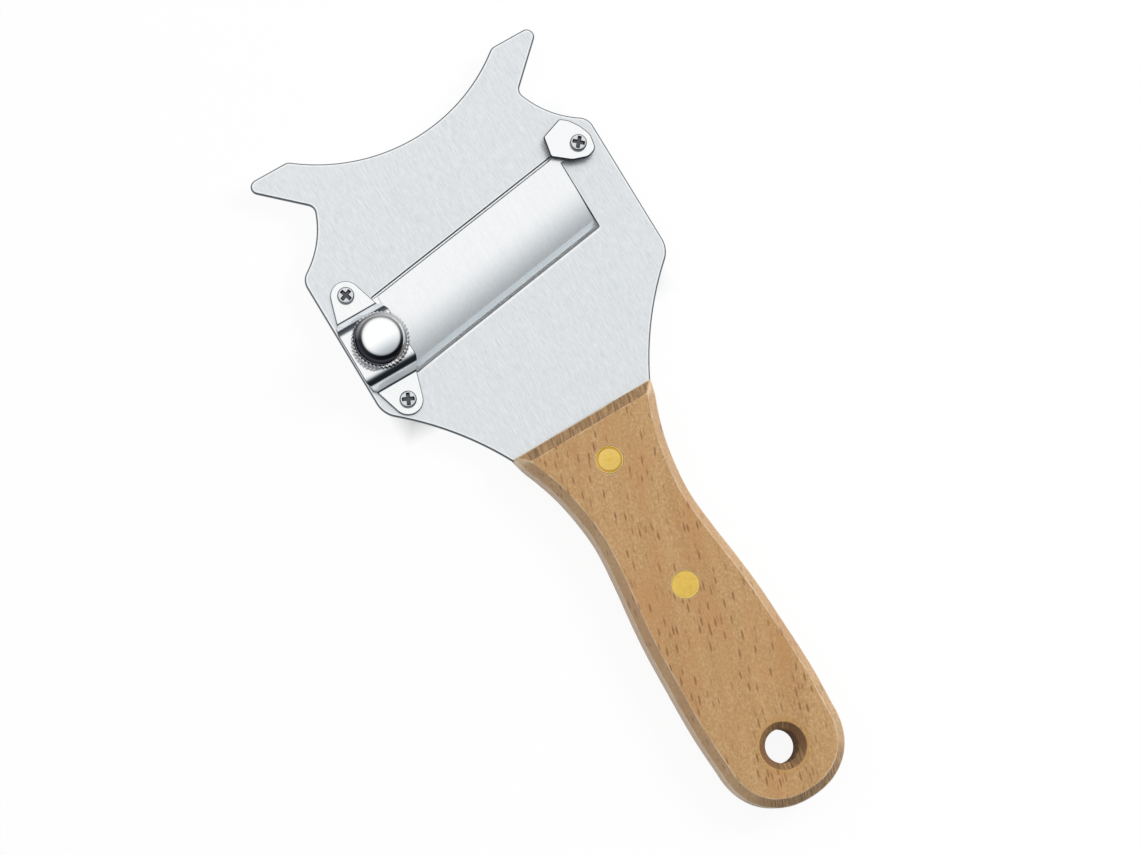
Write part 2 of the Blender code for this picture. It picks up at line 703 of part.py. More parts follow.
def make_bracket(parent):
    origin = (BRACKET_X, BRACKET_Y, BRACKET_BOTTOM)
    mesh = bmesh.new()
    reach = BRACKET_BRIDGE_HALF_WIDTH + OVERRUN
    ends = []
    for x in (BRACKET_X - reach, BRACKET_X + reach):
        ends.append([mesh.verts.new((x, BRACKET_Y + y, z)) for y, z in bracket_section()])
    for i in range(len(ends[0])):
        mesh.faces.new((ends[0][i - 1], ends[0][i], ends[1][i], ends[1][i - 1]))
    mesh.faces.new(ends[0])
    mesh.faces.new(ends[1])
    bracket = solid("bridge_bracket", mesh, "bright steel", origin, parent)
    blank = prism(bracket_outline(), BRACKET_BOTTOM - OVERRUN, BRIDGE_TOP + OVERRUN)
    change(bracket, solid("bracket_blank", blank, None, origin, parent), "INTERSECT")
    through = (BRACKET_BOTTOM - OVERRUN, BRIDGE_TOP + OVERRUN)
    for name, (x, y, _) in screw_places().items():
        if name != "clamp_screw":
            drill(bracket, name + "_ear_hole", rod(SCREW_RADIUS + HOLE_GAP, *through), x, y, parent)
    drill(bracket, "bridge_stud_hole", rod(STUD_RADIUS + STUD_HOLE_GAP, *through), KNOB_X, KNOB_Y, parent)
    return bracket


# Knob and what it pulls


def make_knob(parent):
    shoulder = KNOB_BOTTOM + KNURL_HEIGHT
    base = shoulder + DOME_SHOULDER_HEIGHT
    bore = INSERT_RADIUS + HOLE_GAP
    roof = KNOB_BOTTOM + INSERT_HEIGHT + 2 * SEAT_GAP
    profile = [
        (0, roof),
        (bore, roof),
        (bore, KNOB_BOTTOM),
        (KNOB_RADIUS - KNURL_EDGE, KNOB_BOTTOM),
        (KNOB_RADIUS, KNOB_BOTTOM + KNURL_EDGE),
        (KNOB_RADIUS, shoulder - KNURL_EDGE),
        (KNOB_RADIUS - KNURL_EDGE, shoulder),
        (DOME_BASE_RADIUS, base),
    ]
    teeth = [0, 0, 0, 0, KNURL_DEPTH, KNURL_DEPTH, 0, 0]
    top = base + DOME_HEIGHT
    reach = DOME_CROWN_RADIUS - DOME_CORNER_RADIUS
    inner = DOME_BASE_RADIUS - DOME_CORNER_RADIUS
    middle = top - DOME_CROWN_RADIUS + math.sqrt(reach**2 - inner**2)
    meeting = math.asin(inner / reach)
    for turn in np.linspace(math.pi / 2, meeting, ARC_STEPS):
        across = inner + DOME_CORNER_RADIUS * math.sin(turn)
        profile.append((across, middle + DOME_CORNER_RADIUS * math.cos(turn)))
        teeth.append(0)
    for turn in np.linspace(meeting, 0, ARC_STEPS // 2 + 1)[1:-1]:
        height = top - DOME_CROWN_RADIUS * (1 - math.cos(turn))
        profile.append((DOME_CROWN_RADIUS * math.sin(turn), height))
        teeth.append(0)
    profile.append((0, top))
    teeth.append(0)
    origin = (KNOB_X, KNOB_Y, KNOB_BOTTOM)
    mesh = turned(profile, KNOB_X, KNOB_Y, 2 * KNURL_TEETH, teeth)
    solid("adjusting_knob", mesh, "chrome", origin, parent)
    low = KNOB_BOTTOM + SEAT_GAP
    hole = STUD_RADIUS + HOLE_GAP
    high = low + INSERT_HEIGHT
    ring = ((hole, low), (INSERT_RADIUS, low), (INSERT_RADIUS, high), (hole, high))
    solid("knob_insert", turned(ring, KNOB_X, KNOB_Y), "brass", origin, parent)


def make_washer(parent):
    low = WASHER_BOTTOM
    high = low + WASHER_THICKNESS
    hole = STUD_RADIUS + STUD_HOLE_GAP
    ring = ((hole, low), (WASHER_RADIUS, low), (WASHER_RADIUS, high), (hole, high))
    solid("knob_washer", turned(ring, KNOB_X, KNOB_Y), "bright steel", (KNOB_X, KNOB_Y, low), parent)


def make_stud(parent):
    seat = BLADE_TOP + SEAT_GAP
    top = KNOB_BOTTOM + STUD_REACH
    shoulder = seat + STUD_SHOULDER_HEIGHT
    foot = BLADE_BOTTOM + SEAT_GAP / 2
    profile = (
        (0, foot),
        (STUD_TENON_RADIUS + STUD_FLARE / 2, foot),
        (STUD_TENON_RADIUS, BLADE_BOTTOM + STUD_FLARE_HEIGHT),
        (STUD_TENON_RADIUS, seat),
        (STUD_SHOULDER_RADIUS, seat),
        (STUD_SHOULDER_RADIUS, shoulder),
        (STUD_RADIUS, shoulder),
        (STUD_RADIUS, top - STUD_RADIUS / 4),
        (STUD_RADIUS * 3 / 4, top),
        (0, top),
    )
    pivot = (CLAMP_X, CLAMP_Y, (BLADE_BOTTOM + BLADE_TOP) / 2)
    solid("blade_stud", turned(profile, KNOB_X, KNOB_Y), "screw steel", pivot, parent)


def spring_points(parts):
    """The spring's centre line: a conical helix, wide at the blade and narrow at the bridge."""
    low = BLADE_TOP + SEAT_GAP + SPRING_WIRE_RADIUS
    high = BRIDGE_BOTTOM - SEAT_GAP - SPRING_WIRE_RADIUS
    share = np.linspace(0, 1, parts + 1)
    radius = SPRING_LOW_RADIUS + share * (SPRING_HIGH_RADIUS - SPRING_LOW_RADIUS)
    angle = 2 * math.pi * SPRING_TURNS * share
    return np.stack((radius * np.cos(angle), radius * np.sin(angle), low + share * (high - low)), axis=1)


def spring_self_gap():
    """Least clear distance between turns of the spring, measured on its centre line."""
    fine = 48
    points = spring_points(round(SPRING_TURNS * fine))
    apart = np.linalg.norm(points[:, None] - points[None], axis=2)
    steps = np.abs(np.arange(len(points))[:, None] - np.arange(len(points))[None])
    return apart[steps > fine / 2].min() - 2 * SPRING_WIRE_RADIUS


def make_spring(parent):
    points = spring_points(round(SPRING_TURNS * SPRING_POINTS_PER_TURN))
    curve = bpy.data.curves.new("blade_spring", "CURVE")
    curve.dimensions = "3D"
    curve.bevel_depth = SPRING_WIRE_RADIUS
    curve.bevel_resolution = 1
    curve.use_fill_caps = True
    wire = curve.splines.new("POLY")
    wire.points.add(len(points) - 1)
    for point, place in zip(wire.points, points):
        point.co = (*place, 1)
    curve.materials.append(finish("spring steel"))
    spring = bpy.data.objects.new("blade_spring", curve)
    spring.location = (KNOB_X, KNOB_Y, 0)
    spring.parent = parent
    bpy.context.collection.objects.link(spring)
    print(f"spring: least gap between turns {1000 * spring_self_gap():.2f} mm")


# Handle and rivets


def smooth_through(stations, steps):
    """Points on a smooth curve through the stations: cubics with slopes from their neighbours."""
    stations = np.array(stations, float)
    slopes = np.gradient(stations[:, 1], stations[:, 0])
    curve = []
    for (x0, y0), (x1, y1), m0, m1 in zip(stations, stations[1:], slopes, slopes[1:]):
        for t in np.linspace(0, 1, steps, endpoint=False):
            width = x1 - x0
            rise = (2 * t**3 - 3 * t**2 + 1) * y0 + (3 * t**2 - 2 * t**3) * y1
            lean = (t**3 - 2 * t**2 + t) * m0 + (t**3 - t**2) * m1
            curve.append((x0 + t * width, rise + width * lean))
    curve.append(tuple(stations[-1]))
    return np.array(curve)


def handle_outline():
    stations = [(0, HANDLE_FRONT_HALF_WIDTH)]
    stations += [(a * HANDLE_LENGTH, b * HANDLE_HALF_WIDTH) for a, b in HANDLE_STATION_SHARES]
    side = smooth_through(stations, HANDLE_SIDE_STEPS)
    side = np.vstack((side[:1], side[HANDLE_SIDE_STEPS:]))
    start, width = side[-1]
    turns = np.linspace(0, math.pi / 2, HANDLE_END_STEPS + 1)[1:]
    power = 2 / HANDLE_END_POWER
    along = start + (HANDLE_LENGTH - start) * np.sin(turns) ** power
    across = width * np.clip(np.cos(turns), 0, 1) ** power
    side = np.vstack((side, np.stack((along, across), axis=1)))
    side[-1, 1] = 0
    right = np.stack((side[:, 1], -side[:, 0]), axis=1)
    return np.vstack((right[::-1], right[:-1] * (-1, 1)))


def make_handle(parent):
    outline = handle_outline()
    inset = grown(outline, -HANDLE_CHAMFER)
    inset[outline[:, 1] == 0, 1] = -HANDLE_FRONT_CHAMFER
    low = HANDLE_CHAMFER - HANDLE_TOP
    layers = ((inset, -HANDLE_TOP), (outline, low), (outline, -low), (inset, HANDLE_TOP))
    handle = solid("wood_handle", stacked(layers), "beech", (0, 0, 0), parent, math.radians(30))
    soften = handle.modifiers.new("soft_edges", "BEVEL")
    soften.width = HANDLE_EDGE_RADIUS
    soften.segments = 2
    soften.limit_method = "ANGLE"
    soften.angle_limit = math.radians(30)
    side = TANG_HALF_WIDTH + HOLE_GAP
    floor = -TANG_LENGTH - SEAT_GAP
    corners = [(-side, floor), (side, floor), (side, OVERRUN), (-side, OVERRUN)]
    pocket_outline = polygon(corners, [TANG_END_RADIUS, TANG_END_RADIUS, 0, 0])
    pocket = prism(pocket_outline, -PLATE_TOP - SEAT_GAP, PLATE_TOP + SEAT_GAP)
    change(handle, solid("tang_pocket", pocket, None, (0, 0, 0), parent), "DIFFERENCE")
    wide = HANG_HOLE_RADIUS + HANG_SINK_DEPTH + OVERRUN
    sink = HANDLE_TOP - HANG_SINK_DEPTH
    hole = (
        (0, -HANDLE_TOP - OVERRUN),
        (wide, -HANDLE_TOP - OVERRUN),
        (HANG_HOLE_RADIUS, -sink),
        (HANG_HOLE_RADIUS, sink),
        (wide, HANDLE_TOP + OVERRUN),
        (0, HANDLE_TOP + OVERRUN),
    )
    drill(handle, "hanging_hole", hole, 0, HANG_HOLE_Y, parent)
    head = RIVET_HEAD_RADIUS + HOLE_GAP
    barrel = RIVET_BARREL_RADIUS + HOLE_GAP
    seat = HANDLE_TOP - RIVET_HEAD_HEIGHT - SEAT_GAP
    bore = (
        (0, -HANDLE_TOP - OVERRUN),
        (head, -HANDLE_TOP - OVERRUN),
        (head, -seat),
        (barrel, -seat),
        (barrel, seat),
        (head, seat),
        (head, HANDLE_TOP + OVERRUN),
        (0, HANDLE_TOP + OVERRUN),
    )
    drill(handle, "front_rivet_bore", bore, 0, RIVET_FRONT_Y, parent)
    drill(handle, "rear_rivet_bore", bore, 0, RIVET_REAR_Y, parent)


def make_rivet(place, y, parent):
    """The two halves of a rivet: a head with a hollow barrel, and a head with a pin that fills it."""
    seat = HANDLE_TOP - RIVET_HEAD_HEIGHT
    hole = RIVET_PIN_RADIUS + HOLE_GAP
    mouth = seat - SEAT_GAP
    floor = -seat
    barrel = (
        (0, floor),
        (hole, floor),
        (hole, mouth),
        (RIVET_BARREL_RADIUS, mouth),
        (RIVET_BARREL_RADIUS, -seat),
        (RIVET_HEAD_RADIUS, -seat),
        (RIVET_HEAD_RADIUS, RIVET_EDGE - HANDLE_TOP),
        (RIVET_HEAD_RADIUS - RIVET_EDGE, -HANDLE_TOP),
        (0, -HANDLE_TOP),
    )
    solid(place + "_rivet_barrel", turned(barrel, 0, y), "brass", (0, y, 0), parent)
    pin = (
        (0, floor + RIVET_PIN_END_GAP),
        (RIVET_PIN_RADIUS, floor + RIVET_PIN_END_GAP),
        (RIVET_PIN_RADIUS, seat),
        (RIVET_HEAD_RADIUS, seat),
        (RIVET_HEAD_RADIUS, HANDLE_TOP - RIVET_EDGE),
        (RIVET_HEAD_RADIUS - RIVET_EDGE, HANDLE_TOP),
        (0, HANDLE_TOP),
    )
    solid(place + "_rivet_pin", turned(pin, 0, y), "brass", (0, y, 0), parent)


def make_slicer():
    clear_scene()
    frame = bpy.data.objects.new("slicer_frame", None)
    frame.location = (0, (HANDLE_LENGTH - HORN_TOP) / 2, HANDLE_TOP)
    bpy.context.collection.objects.link(frame)
    make_plate(frame)
    make_blade(frame)
    make_clamp(frame)
    for name, (x, y, seat) in screw_places().items():
        make_screw(name, x, y, seat, frame)
    make_bracket(frame)
    make_knob(frame)
    make_washer(frame)
    make_stud(frame)
    make_spring(frame)
    make_handle(frame)
    make_rivet("front", RIVET_FRONT_Y, frame)
    make_rivet("rear", RIVET_REAR_Y, frame)


make_slicer()
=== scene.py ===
import functools
import json
import math

import bmesh
import bpy
import numpy as np
from mathutils import Matrix, Vector
from mathutils.geometry import delaunay_2d_cdt

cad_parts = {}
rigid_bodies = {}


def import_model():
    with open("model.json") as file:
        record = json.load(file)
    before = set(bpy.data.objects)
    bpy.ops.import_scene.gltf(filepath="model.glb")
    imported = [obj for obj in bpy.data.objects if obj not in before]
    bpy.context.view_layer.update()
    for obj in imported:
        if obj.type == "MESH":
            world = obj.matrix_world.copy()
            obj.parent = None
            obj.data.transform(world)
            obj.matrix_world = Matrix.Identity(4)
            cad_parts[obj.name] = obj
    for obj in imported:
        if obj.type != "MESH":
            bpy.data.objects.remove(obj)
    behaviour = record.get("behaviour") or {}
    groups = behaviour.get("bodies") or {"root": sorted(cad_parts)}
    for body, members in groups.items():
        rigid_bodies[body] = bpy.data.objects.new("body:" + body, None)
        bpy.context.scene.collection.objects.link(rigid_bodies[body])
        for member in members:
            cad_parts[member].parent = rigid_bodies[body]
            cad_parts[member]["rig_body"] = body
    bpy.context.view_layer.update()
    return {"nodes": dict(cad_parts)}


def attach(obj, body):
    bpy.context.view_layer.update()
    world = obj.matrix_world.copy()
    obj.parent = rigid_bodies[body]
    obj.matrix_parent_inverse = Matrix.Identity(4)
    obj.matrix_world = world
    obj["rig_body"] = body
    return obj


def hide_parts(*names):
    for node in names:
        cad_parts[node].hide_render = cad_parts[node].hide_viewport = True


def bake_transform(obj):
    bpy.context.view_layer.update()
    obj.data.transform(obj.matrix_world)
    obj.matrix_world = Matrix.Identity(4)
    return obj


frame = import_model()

# Truffle slicer. Shapes are worked out in millimetres, from the middle of the plate at the handle's front.
nodes = frame["nodes"]
toFrame = np.array((0.0, 8.8, 6.25))  # from there to the frame's own middle and floor
slant = math.radians(8.4)  # how the window and the blade lie in the plate
print("frame loaded:", len(nodes), "nodes")


# a place in the frame, in metres
def inFrame(x, y, z=0.0):
    return tuple((np.array((x, y, z)) + toFrame) / 1000)


# Outlines are closed loops of points (x, y), made of runs.

# circle arc from start to end, bulging to the left of the way: centre + radius * (cos, sin) of even angles
def arcRun(start, end, radius, steps=40):
    start, end = np.array(start, float), np.array(end, float)
    half = (end - start) / 2
    reach = np.hypot(*half)
    left = np.array((-half[1], half[0])) / reach
    centre = start + half - left * math.sqrt(radius**2 - reach**2)
    first = math.atan2(start[1] - centre[1], start[0] - centre[0])
    angles = first - np.linspace(0, 2 * math.asin(reach / radius), steps + 1)
    return centre + radius * np.stack((np.cos(angles), np.sin(angles)), axis=1)


def straightRun(start, end):
    return np.array((start, end), float)


# the run without these lengths at its two ends, found along its own length
def trimRun(run, cutStart, cutEnd):
    along = np.concatenate(((0,), np.cumsum(np.hypot(*np.diff(run, axis=0).T))))
    low, high = cutStart, along[-1] - cutEnd
    inside = run[(along > low) & (along < high)]
    ends = [[np.interp(at, along, run[:, axis]) for axis in (0, 1)] for at in (low, high)]
    return np.vstack((ends[0], inside, ends[1]))


# runs joined end to end, each corner replaced by a cubic that stands for a fillet of its radius
def roundedLoop(runs, radii, steps=8):
    following = runs[1:] + runs[:1]
    cuts = []
    for run, after, radius in zip(runs, following, radii):
        back, ahead = run[-2] - run[-1], after[1] - after[0]
        cosine = back @ ahead / np.hypot(*back) / np.hypot(*ahead)
        cuts.append(radius / math.tan(math.acos(np.clip(cosine, -1, 1)) / 2) if radius else 0)
    t = np.linspace(0, 1, steps, endpoint=False)[:, None]
    parts = []
    for i, (run, after, radius) in enumerate(zip(runs, following, radii)):
        kept = trimRun(run, cuts[i - 1], cuts[i])
        parts.append(kept[:-1])
        if radius:
            start, corner, end = kept[-1], run[-1], trimRun(after, cuts[i], 0)[0]
            turn = math.pi - 2 * math.atan2(radius, cuts[i])
            hold = 4 / 3 * math.tan(turn / 4) * radius / cuts[i]
            first, second = start + hold * (corner - start), end + hold * (corner - end)
            parts.append((1 - t) ** 3 * start + 3 * t * (1 - t) ** 2 * first
                         + 3 * t**2 * (1 - t) * second + t**3 * end)
    return np.vstack(parts)


def cornerLoop(corners, radii):
    corners = np.array(corners, float)
    return roundedLoop([np.array(pair) for pair in zip(np.roll(corners, 1, axis=0), corners)], radii)


# circle: centre + radius * (cos, sin)
def circleLoop(x, y, radius, count):
    angles = np.linspace(0, 2 * math.pi, count, endpoint=False)
    return np.stack((x + radius * np.cos(angles), y + radius * np.sin(angles)), axis=1)


# mitred outward step of each point: the sum of its two side normals, stretched until each side moves by 1
def outwardSteps(loop):
    ahead = np.roll(loop, -1, axis=0) - loop
    ahead = ahead / np.hypot(*ahead.T)[:, None]
    turnSide = 1 if np.cross(loop, np.roll(loop, -1, axis=0)).sum() > 0 else -1
    after = turnSide * np.stack((ahead[:, 1], -ahead[:, 0]), axis=1)
    middle = after + np.roll(after, 1, axis=0)
    return middle / np.maximum((middle * after).sum(axis=1), 0.3)[:, None]


# ring stack of a loop: each (inset, height) of the section gives the loop moved inwards, at that height
def carried(loop, section, steps=None):
    steps = outwardSteps(loop) if steps is None else steps
    section = np.array(section, float)
    flat = loop[None] - section[:, 0, None, None] * steps[None]
    heights = np.broadcast_to(section[:, 1, None, None], (*flat.shape[:2], 1))
    return np.concatenate((flat, heights), axis=2)


# section of a sheet's edge from its lower to its upper face: a quarter circle under and over, the straight
# between them, and a flat strip beside each
def roundEdge(low, high, under, over, steps, strip):
    t = np.linspace(math.pi / 2, 0, steps + 1)
    lower = np.stack((under * (1 - np.cos(t)), low + under * (1 - np.sin(t))), axis=1)
    t = t[::-1]
    upper = np.stack((over * (1 - np.cos(t)), high - over * (1 - np.sin(t))), axis=1)
    return np.vstack(([(under + strip, low)], lower, upper, [(over + strip, high)]))


# a profile's inner corners rounded by quarter turns: each is a square curve between cuts of its radius
def easedProfile(profile, radii, steps=5):
    profile = np.array(profile, float)
    t = np.linspace(0, 1, steps + 1)[:, None]
    parts = [profile[:1]]
    for before, corner, after, radius in zip(profile, profile[1:], profile[2:], radii):
        if not radius:
            parts.append(corner[None])
            continue
        back, ahead = before - corner, after - corner
        cut = min(radius, 0.49 * np.hypot(*back), 0.49 * np.hypot(*ahead))
        start, end = corner + back / np.hypot(*back) * cut, corner + ahead / np.hypot(*ahead) * cut
        parts.append((1 - t) ** 2 * start + 2 * t * (1 - t) * corner + t**2 * end)
    return np.vstack((*parts, profile[-1:]))


# quads between the neighbouring rings of a closed loop, as point numbers from a first one
def ringQuads(rings, points, first=0):
    grid = first + np.arange(rings * points).reshape(rings, points)
    grid = np.concatenate((grid, grid[:, :1]), axis=1)
    return np.stack((grid[:-1, :-1], grid[:-1, 1:], grid[1:, 1:], grid[1:, :-1]), axis=-1).reshape(-1, 4).tolist()


# even-odd test of points against closed loops: a ray to +x crosses their sides an odd number of times
def insideLoops(points, loops):
    odd = np.zeros(len(points), bool)
    for loop in loops:
        a, b = loop[None], np.roll(loop, -1, axis=0)[None]
        x, y = points[:, :1], points[:, 1:]
        spans = (a[..., 1] > y) != (b[..., 1] > y)
        rise = np.where(spans, b[..., 1] - a[..., 1], 1)
        at = a[..., 0] + (y - a[..., 1]) * (b[..., 0] - a[..., 0]) / rise
        odd ^= (spans & (x < at)).sum(axis=1) % 2 == 1
    return odd


# triangles that fill the area between loops, as numbers of their points, one loop after the other
def fillLoops(loops):
    flat = np.vstack(loops)
    sides, start = [], 0
    for loop in loops:
        numbers = start + np.arange(len(loop))
        sides.append(np.stack((numbers, np.roll(numbers, -1)), axis=1))
        start += len(loop)
    found = delaunay_2d_cdt(list(map(Vector, flat)), np.vstack(sides).tolist(), [], 0, 1e-7)
    back = np.array([origin[0] for origin in found[3]])
    faces = back[np.array(found[2])]
    return faces[insideLoops(flat[faces].mean(axis=1), loops)]


def placed(name, data):
    made = bpy.data.objects.new(name, data)
    bpy.context.scene.collection.objects.link(made)
    return made


# a piece's material, its body if it has one, and the node it stands for, which is hidden
def declare(piece, material, body, node):
    piece.data.materials.append(material)
    if body:
        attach(piece, body)
    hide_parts(node)


# faces joined into one mesh in the frame, outward and smooth
def skin(name, points, faces, material, body, node, sharp=None, hollow=None, rim=None, strips=False):
    mesh = bpy.data.meshes.new(name)
    mesh.from_pydata(((np.array(points) + toFrame) / 1000).tolist(), [], faces)
    for key, values in (("hollow", hollow), ("rim", rim)):
        if values is not None:
            mesh.attributes.new(key, "FLOAT", "POINT").data.foreach_set("value", values.astype(np.float32))
    work = bmesh.new()
    work.from_mesh(mesh)
    bmesh.ops.remove_doubles(work, verts=work.verts, dist=1e-7)
    bmesh.ops.recalc_face_normals(work, faces=work.faces)
    work.to_mesh(mesh)
    work.free()
    shade(mesh, sharp, strips)
    piece = placed(name, mesh)
    declare(piece, material, body, node)
    return piece


def pulled(items, key, kind=np.float32, width=1):
    values = np.empty(len(items) * width, kind)
    items.foreach_get(key, values)
    return values.reshape(-1, width) if width > 1 else values


# area weighted point normals, or edges sharp from an angle; "rim" is how far the faces round a point turn away
# from each other
def shade(mesh, sharp, strips):
    count, corners = len(mesh.vertices), pulled(mesh.loops, "vertex_index", np.int32)
    sizes = np.diff(np.append(pulled(mesh.polygons, "loop_start", np.int32), len(corners)))
    perCorner = np.repeat(pulled(mesh.polygons, "normal", width=3), sizes, axis=0)
    weights = np.repeat(pulled(mesh.polygons, "area"), sizes)[:, None]
    plain, weighted, uses = np.zeros((count, 3)), np.zeros((count, 3)), np.zeros(count)
    np.add.at(plain, corners, perCorner)
    np.add.at(weighted, corners, perCorner * weights)
    np.add.at(uses, corners, 1)
    turned = 1 - np.linalg.norm(plain, axis=1) / np.maximum(uses, 1)
    if not strips:
        rim = mesh.attributes.get("rim")
        share = pulled(rim.data, "value") if rim else 1
        rim = rim or mesh.attributes.new("rim", "FLOAT", "POINT")
        rim.data.foreach_set("value", (share * np.clip(turned * 300, 0, 1)).astype(np.float32))
    mesh.shade_smooth()
    if sharp is None:
        weighted /= np.maximum(np.linalg.norm(weighted, axis=1), 1e-12)[:, None]
        mesh.normals_split_custom_set_from_vertices(weighted.tolist())
    else:
        mesh.set_sharp_from_angle(angle=math.radians(sharp))


# sheet between two filled faces: the loops' ring stacks make its edges; with strips, "rim" fades over the
# outer rings
def sheet(name, stacks, material, node, strips=False):
    points, faces, first = [], [], 0
    starts, rims = [], []
    for stack in stacks:
        rings, count = stack.shape[:2]
        points.append(stack.reshape(-1, 3))
        faces += ringQuads(rings, count, first)
        starts.append((first, first + (rings - 1) * count, count))
        rims.append(np.repeat(np.concatenate(([0], np.ones(rings - 2), [0])), count))
        first += rings * count
    for side in (0, 1):
        numbers = np.concatenate([np.arange(start[side], start[side] + start[2]) for start in starts])
        faces += numbers[fillLoops([stack[-side, :, :2] for stack in stacks])].tolist()
    skin(name, np.vstack(points), faces, material, "slicer", node, rim=np.concatenate(rims), strips=strips)


# profile of (radius, height) turned about a vertical axis: radius * (cos, sin); teeth lower the radius
def turnedPoints(profile, x, y, count, teeth=0.0, closed=False):
    profile = np.array(profile, float)
    angles = np.linspace(0, 2 * math.pi, count, endpoint=False)
    radius = np.broadcast_to(profile[:, :1], (len(profile), count)) - teeth
    heights = np.broadcast_to(profile[:, 1:], radius.shape)
    points = np.stack((x + radius * np.cos(angles), y + radius * np.sin(angles), heights), axis=2)
    if closed:
        points = np.concatenate((points, points[:1]))
    return points.reshape(-1, 3), ringQuads(len(points), count)


def turnedPiece(name, profile, x, y, material, body, node, count=96, teeth=0.0, closed=False, sharp=None):
    points, faces = turnedPoints(profile, x, y, count, teeth, closed)
    skin(name, points, faces, material, body, node, sharp=sharp)


# plain ring between two radii and two heights, with its outer corners eased
def ringPiece(name, radii, heights, ease, at, material, body, node, count=64):
    (inner, outer), (low, high) = radii, heights
    profile = easedProfile([(inner, low), (outer, low), (outer, high), (inner, high)], [ease, ease])
    turnedPiece(name, profile, *at, material, body, node, count, closed=True, sharp=40)


# Shader nodes. The helpers find the node tree from the sockets they are given.

# a socket's own value, or the link that feeds it; a colour gets its alpha here
def feed(socket, value):
    if isinstance(value, bpy.types.NodeSocket):
        socket.id_data.links.new(value, socket)
    else:
        socket.default_value = (*value, 1.0) if socket.type == "RGBA" else value


# inputs go by name, or by place as n0, n1 ...
def addNode(tree, kind, settings=None, **inputs):
    made = tree.nodes.new(kind)
    for key, value in (settings or {}).items():
        setattr(made, key, value)
    for key, value in inputs.items():
        byPlace = key[0] == "n" and key[1:].isdigit()
        feed(made.inputs[int(key[1:])] if byPlace else made.inputs[key.replace("_", " ")], value)
    return made


def calc(operation, a, b=0.0):
    tree = next(value.id_data for value in (a, b) if isinstance(value, bpy.types.NodeSocket))
    return addNode(tree, "ShaderNodeMath", {"operation": operation}, n0=a, n1=b).outputs[0]


plus, minus, times, larger, absolute = (
    functools.partial(calc, name) for name in ("ADD", "SUBTRACT", "MULTIPLY", "MAXIMUM", "ABSOLUTE"))


def vectorCalc(operation, a, b=(0.0, 0.0, 0.0)):
    made = addNode(a.id_data, "ShaderNodeVectorMath", {"operation": operation}, n0=a, n1=b)
    return made.outputs["Value" if operation in ("DOT_PRODUCT", "DISTANCE", "LENGTH") else "Vector"]


stretched = functools.partial(vectorCalc, "MULTIPLY")


def axisOf(vector, axis):
    return addNode(vector.id_data, "ShaderNodeSeparateXYZ", None, Vector=vector).outputs[axis]


# value mapped from one range to another, held inside it
def spread(value, low, high, toLow=0.0, toHigh=1.0):
    return addNode(value.id_data, "ShaderNodeMapRange", None, n0=value, n1=low, n2=high, n3=toLow, n4=toHigh).outputs[0]


def noise(vector, scale=1.0, **values):
    return addNode(vector.id_data, "ShaderNodeTexNoise", None, Vector=vector, Scale=scale, **values).outputs["Fac"]


def cells(vector, scale=1.0):
    return addNode(vector.id_data, "ShaderNodeTexVoronoi", None, Vector=vector, Scale=scale).outputs


def coordsOf(tree):
    return addNode(tree, "ShaderNodeTexCoord").outputs


def attribute(tree, name):
    return addNode(tree, "ShaderNodeAttribute", {"attribute_name": name}).outputs["Fac"]


# a colour with others laid over it in turn, each by its own share
def layered(colour, *layers):
    for amount, over in layers:
        mixed = addNode(amount.id_data, "ShaderNodeMix", {"data_type": "RGBA"}, n0=amount, n6=colour, n7=over)
        colour = mixed.outputs[2]
    return colour


# the tree of a new group, with its inputs and its object's coordinates
def openGroup(name, inputs):
    tree = bpy.data.node_groups.new(name, "ShaderNodeTree")
    for key, default in inputs.items():
        kind = "NodeSocketFloat" if isinstance(default, float) else "NodeSocketVector"
        tree.interface.new_socket(key, in_out="INPUT", socket_type=kind).default_value = default
    return tree, tree.nodes.new("NodeGroupInput").outputs, coordsOf(tree)


def closeGroup(tree, **outputs):
    for key in outputs:
        tree.interface.new_socket(key.replace("_", " "), in_out="OUTPUT", socket_type="NodeSocketFloat")
    result = tree.nodes.new("NodeGroupOutput")
    for key, value in outputs.items():
        feed(result.inputs[key.replace("_", " ")], value)
    return tree


def useGroup(tree, group, **inputs):
    return addNode(tree, "ShaderNodeGroup", {"node_tree": group}, **inputs).outputs


# brushing: noise drawn out along one direction; Scale holds the lines per metre along x, y and z
def makeBrushing():
    tree, given, coords = openGroup("brushing", {"Scale": (5200.0, 420.0, 5200.0)})
    drawn = stretched(coords["Object"], given["Scale"])
    return closeGroup(tree, Lines=noise(drawn, Detail=3.0, Roughness=0.62),
                      Long=noise(stretched(drawn, (0.31, 0.12, 0.31))),
                      Mottle=noise(coords["Object"], 900.0, Roughness=0.6))


# turning marks: noise along the distance from an axis at Centre; Scale is the rings per metre
def makeTurning():
    tree, given, coords = openGroup("turning marks", {"Centre": (0.0, 0.0, 0.0), "Scale": 6000.0})
    moved = vectorCalc("SUBTRACT", coords["Object"], given["Centre"])
    away = vectorCalc("LENGTH", stretched(moved, (1.0, 1.0, 0.0)))
    rings = addNode(tree, "ShaderNodeTexNoise", {"noise_dimensions": "1D"}, W=times(away, given["Scale"]), Scale=1.0)
    return closeGroup(tree, Rings=rings.outputs["Fac"])
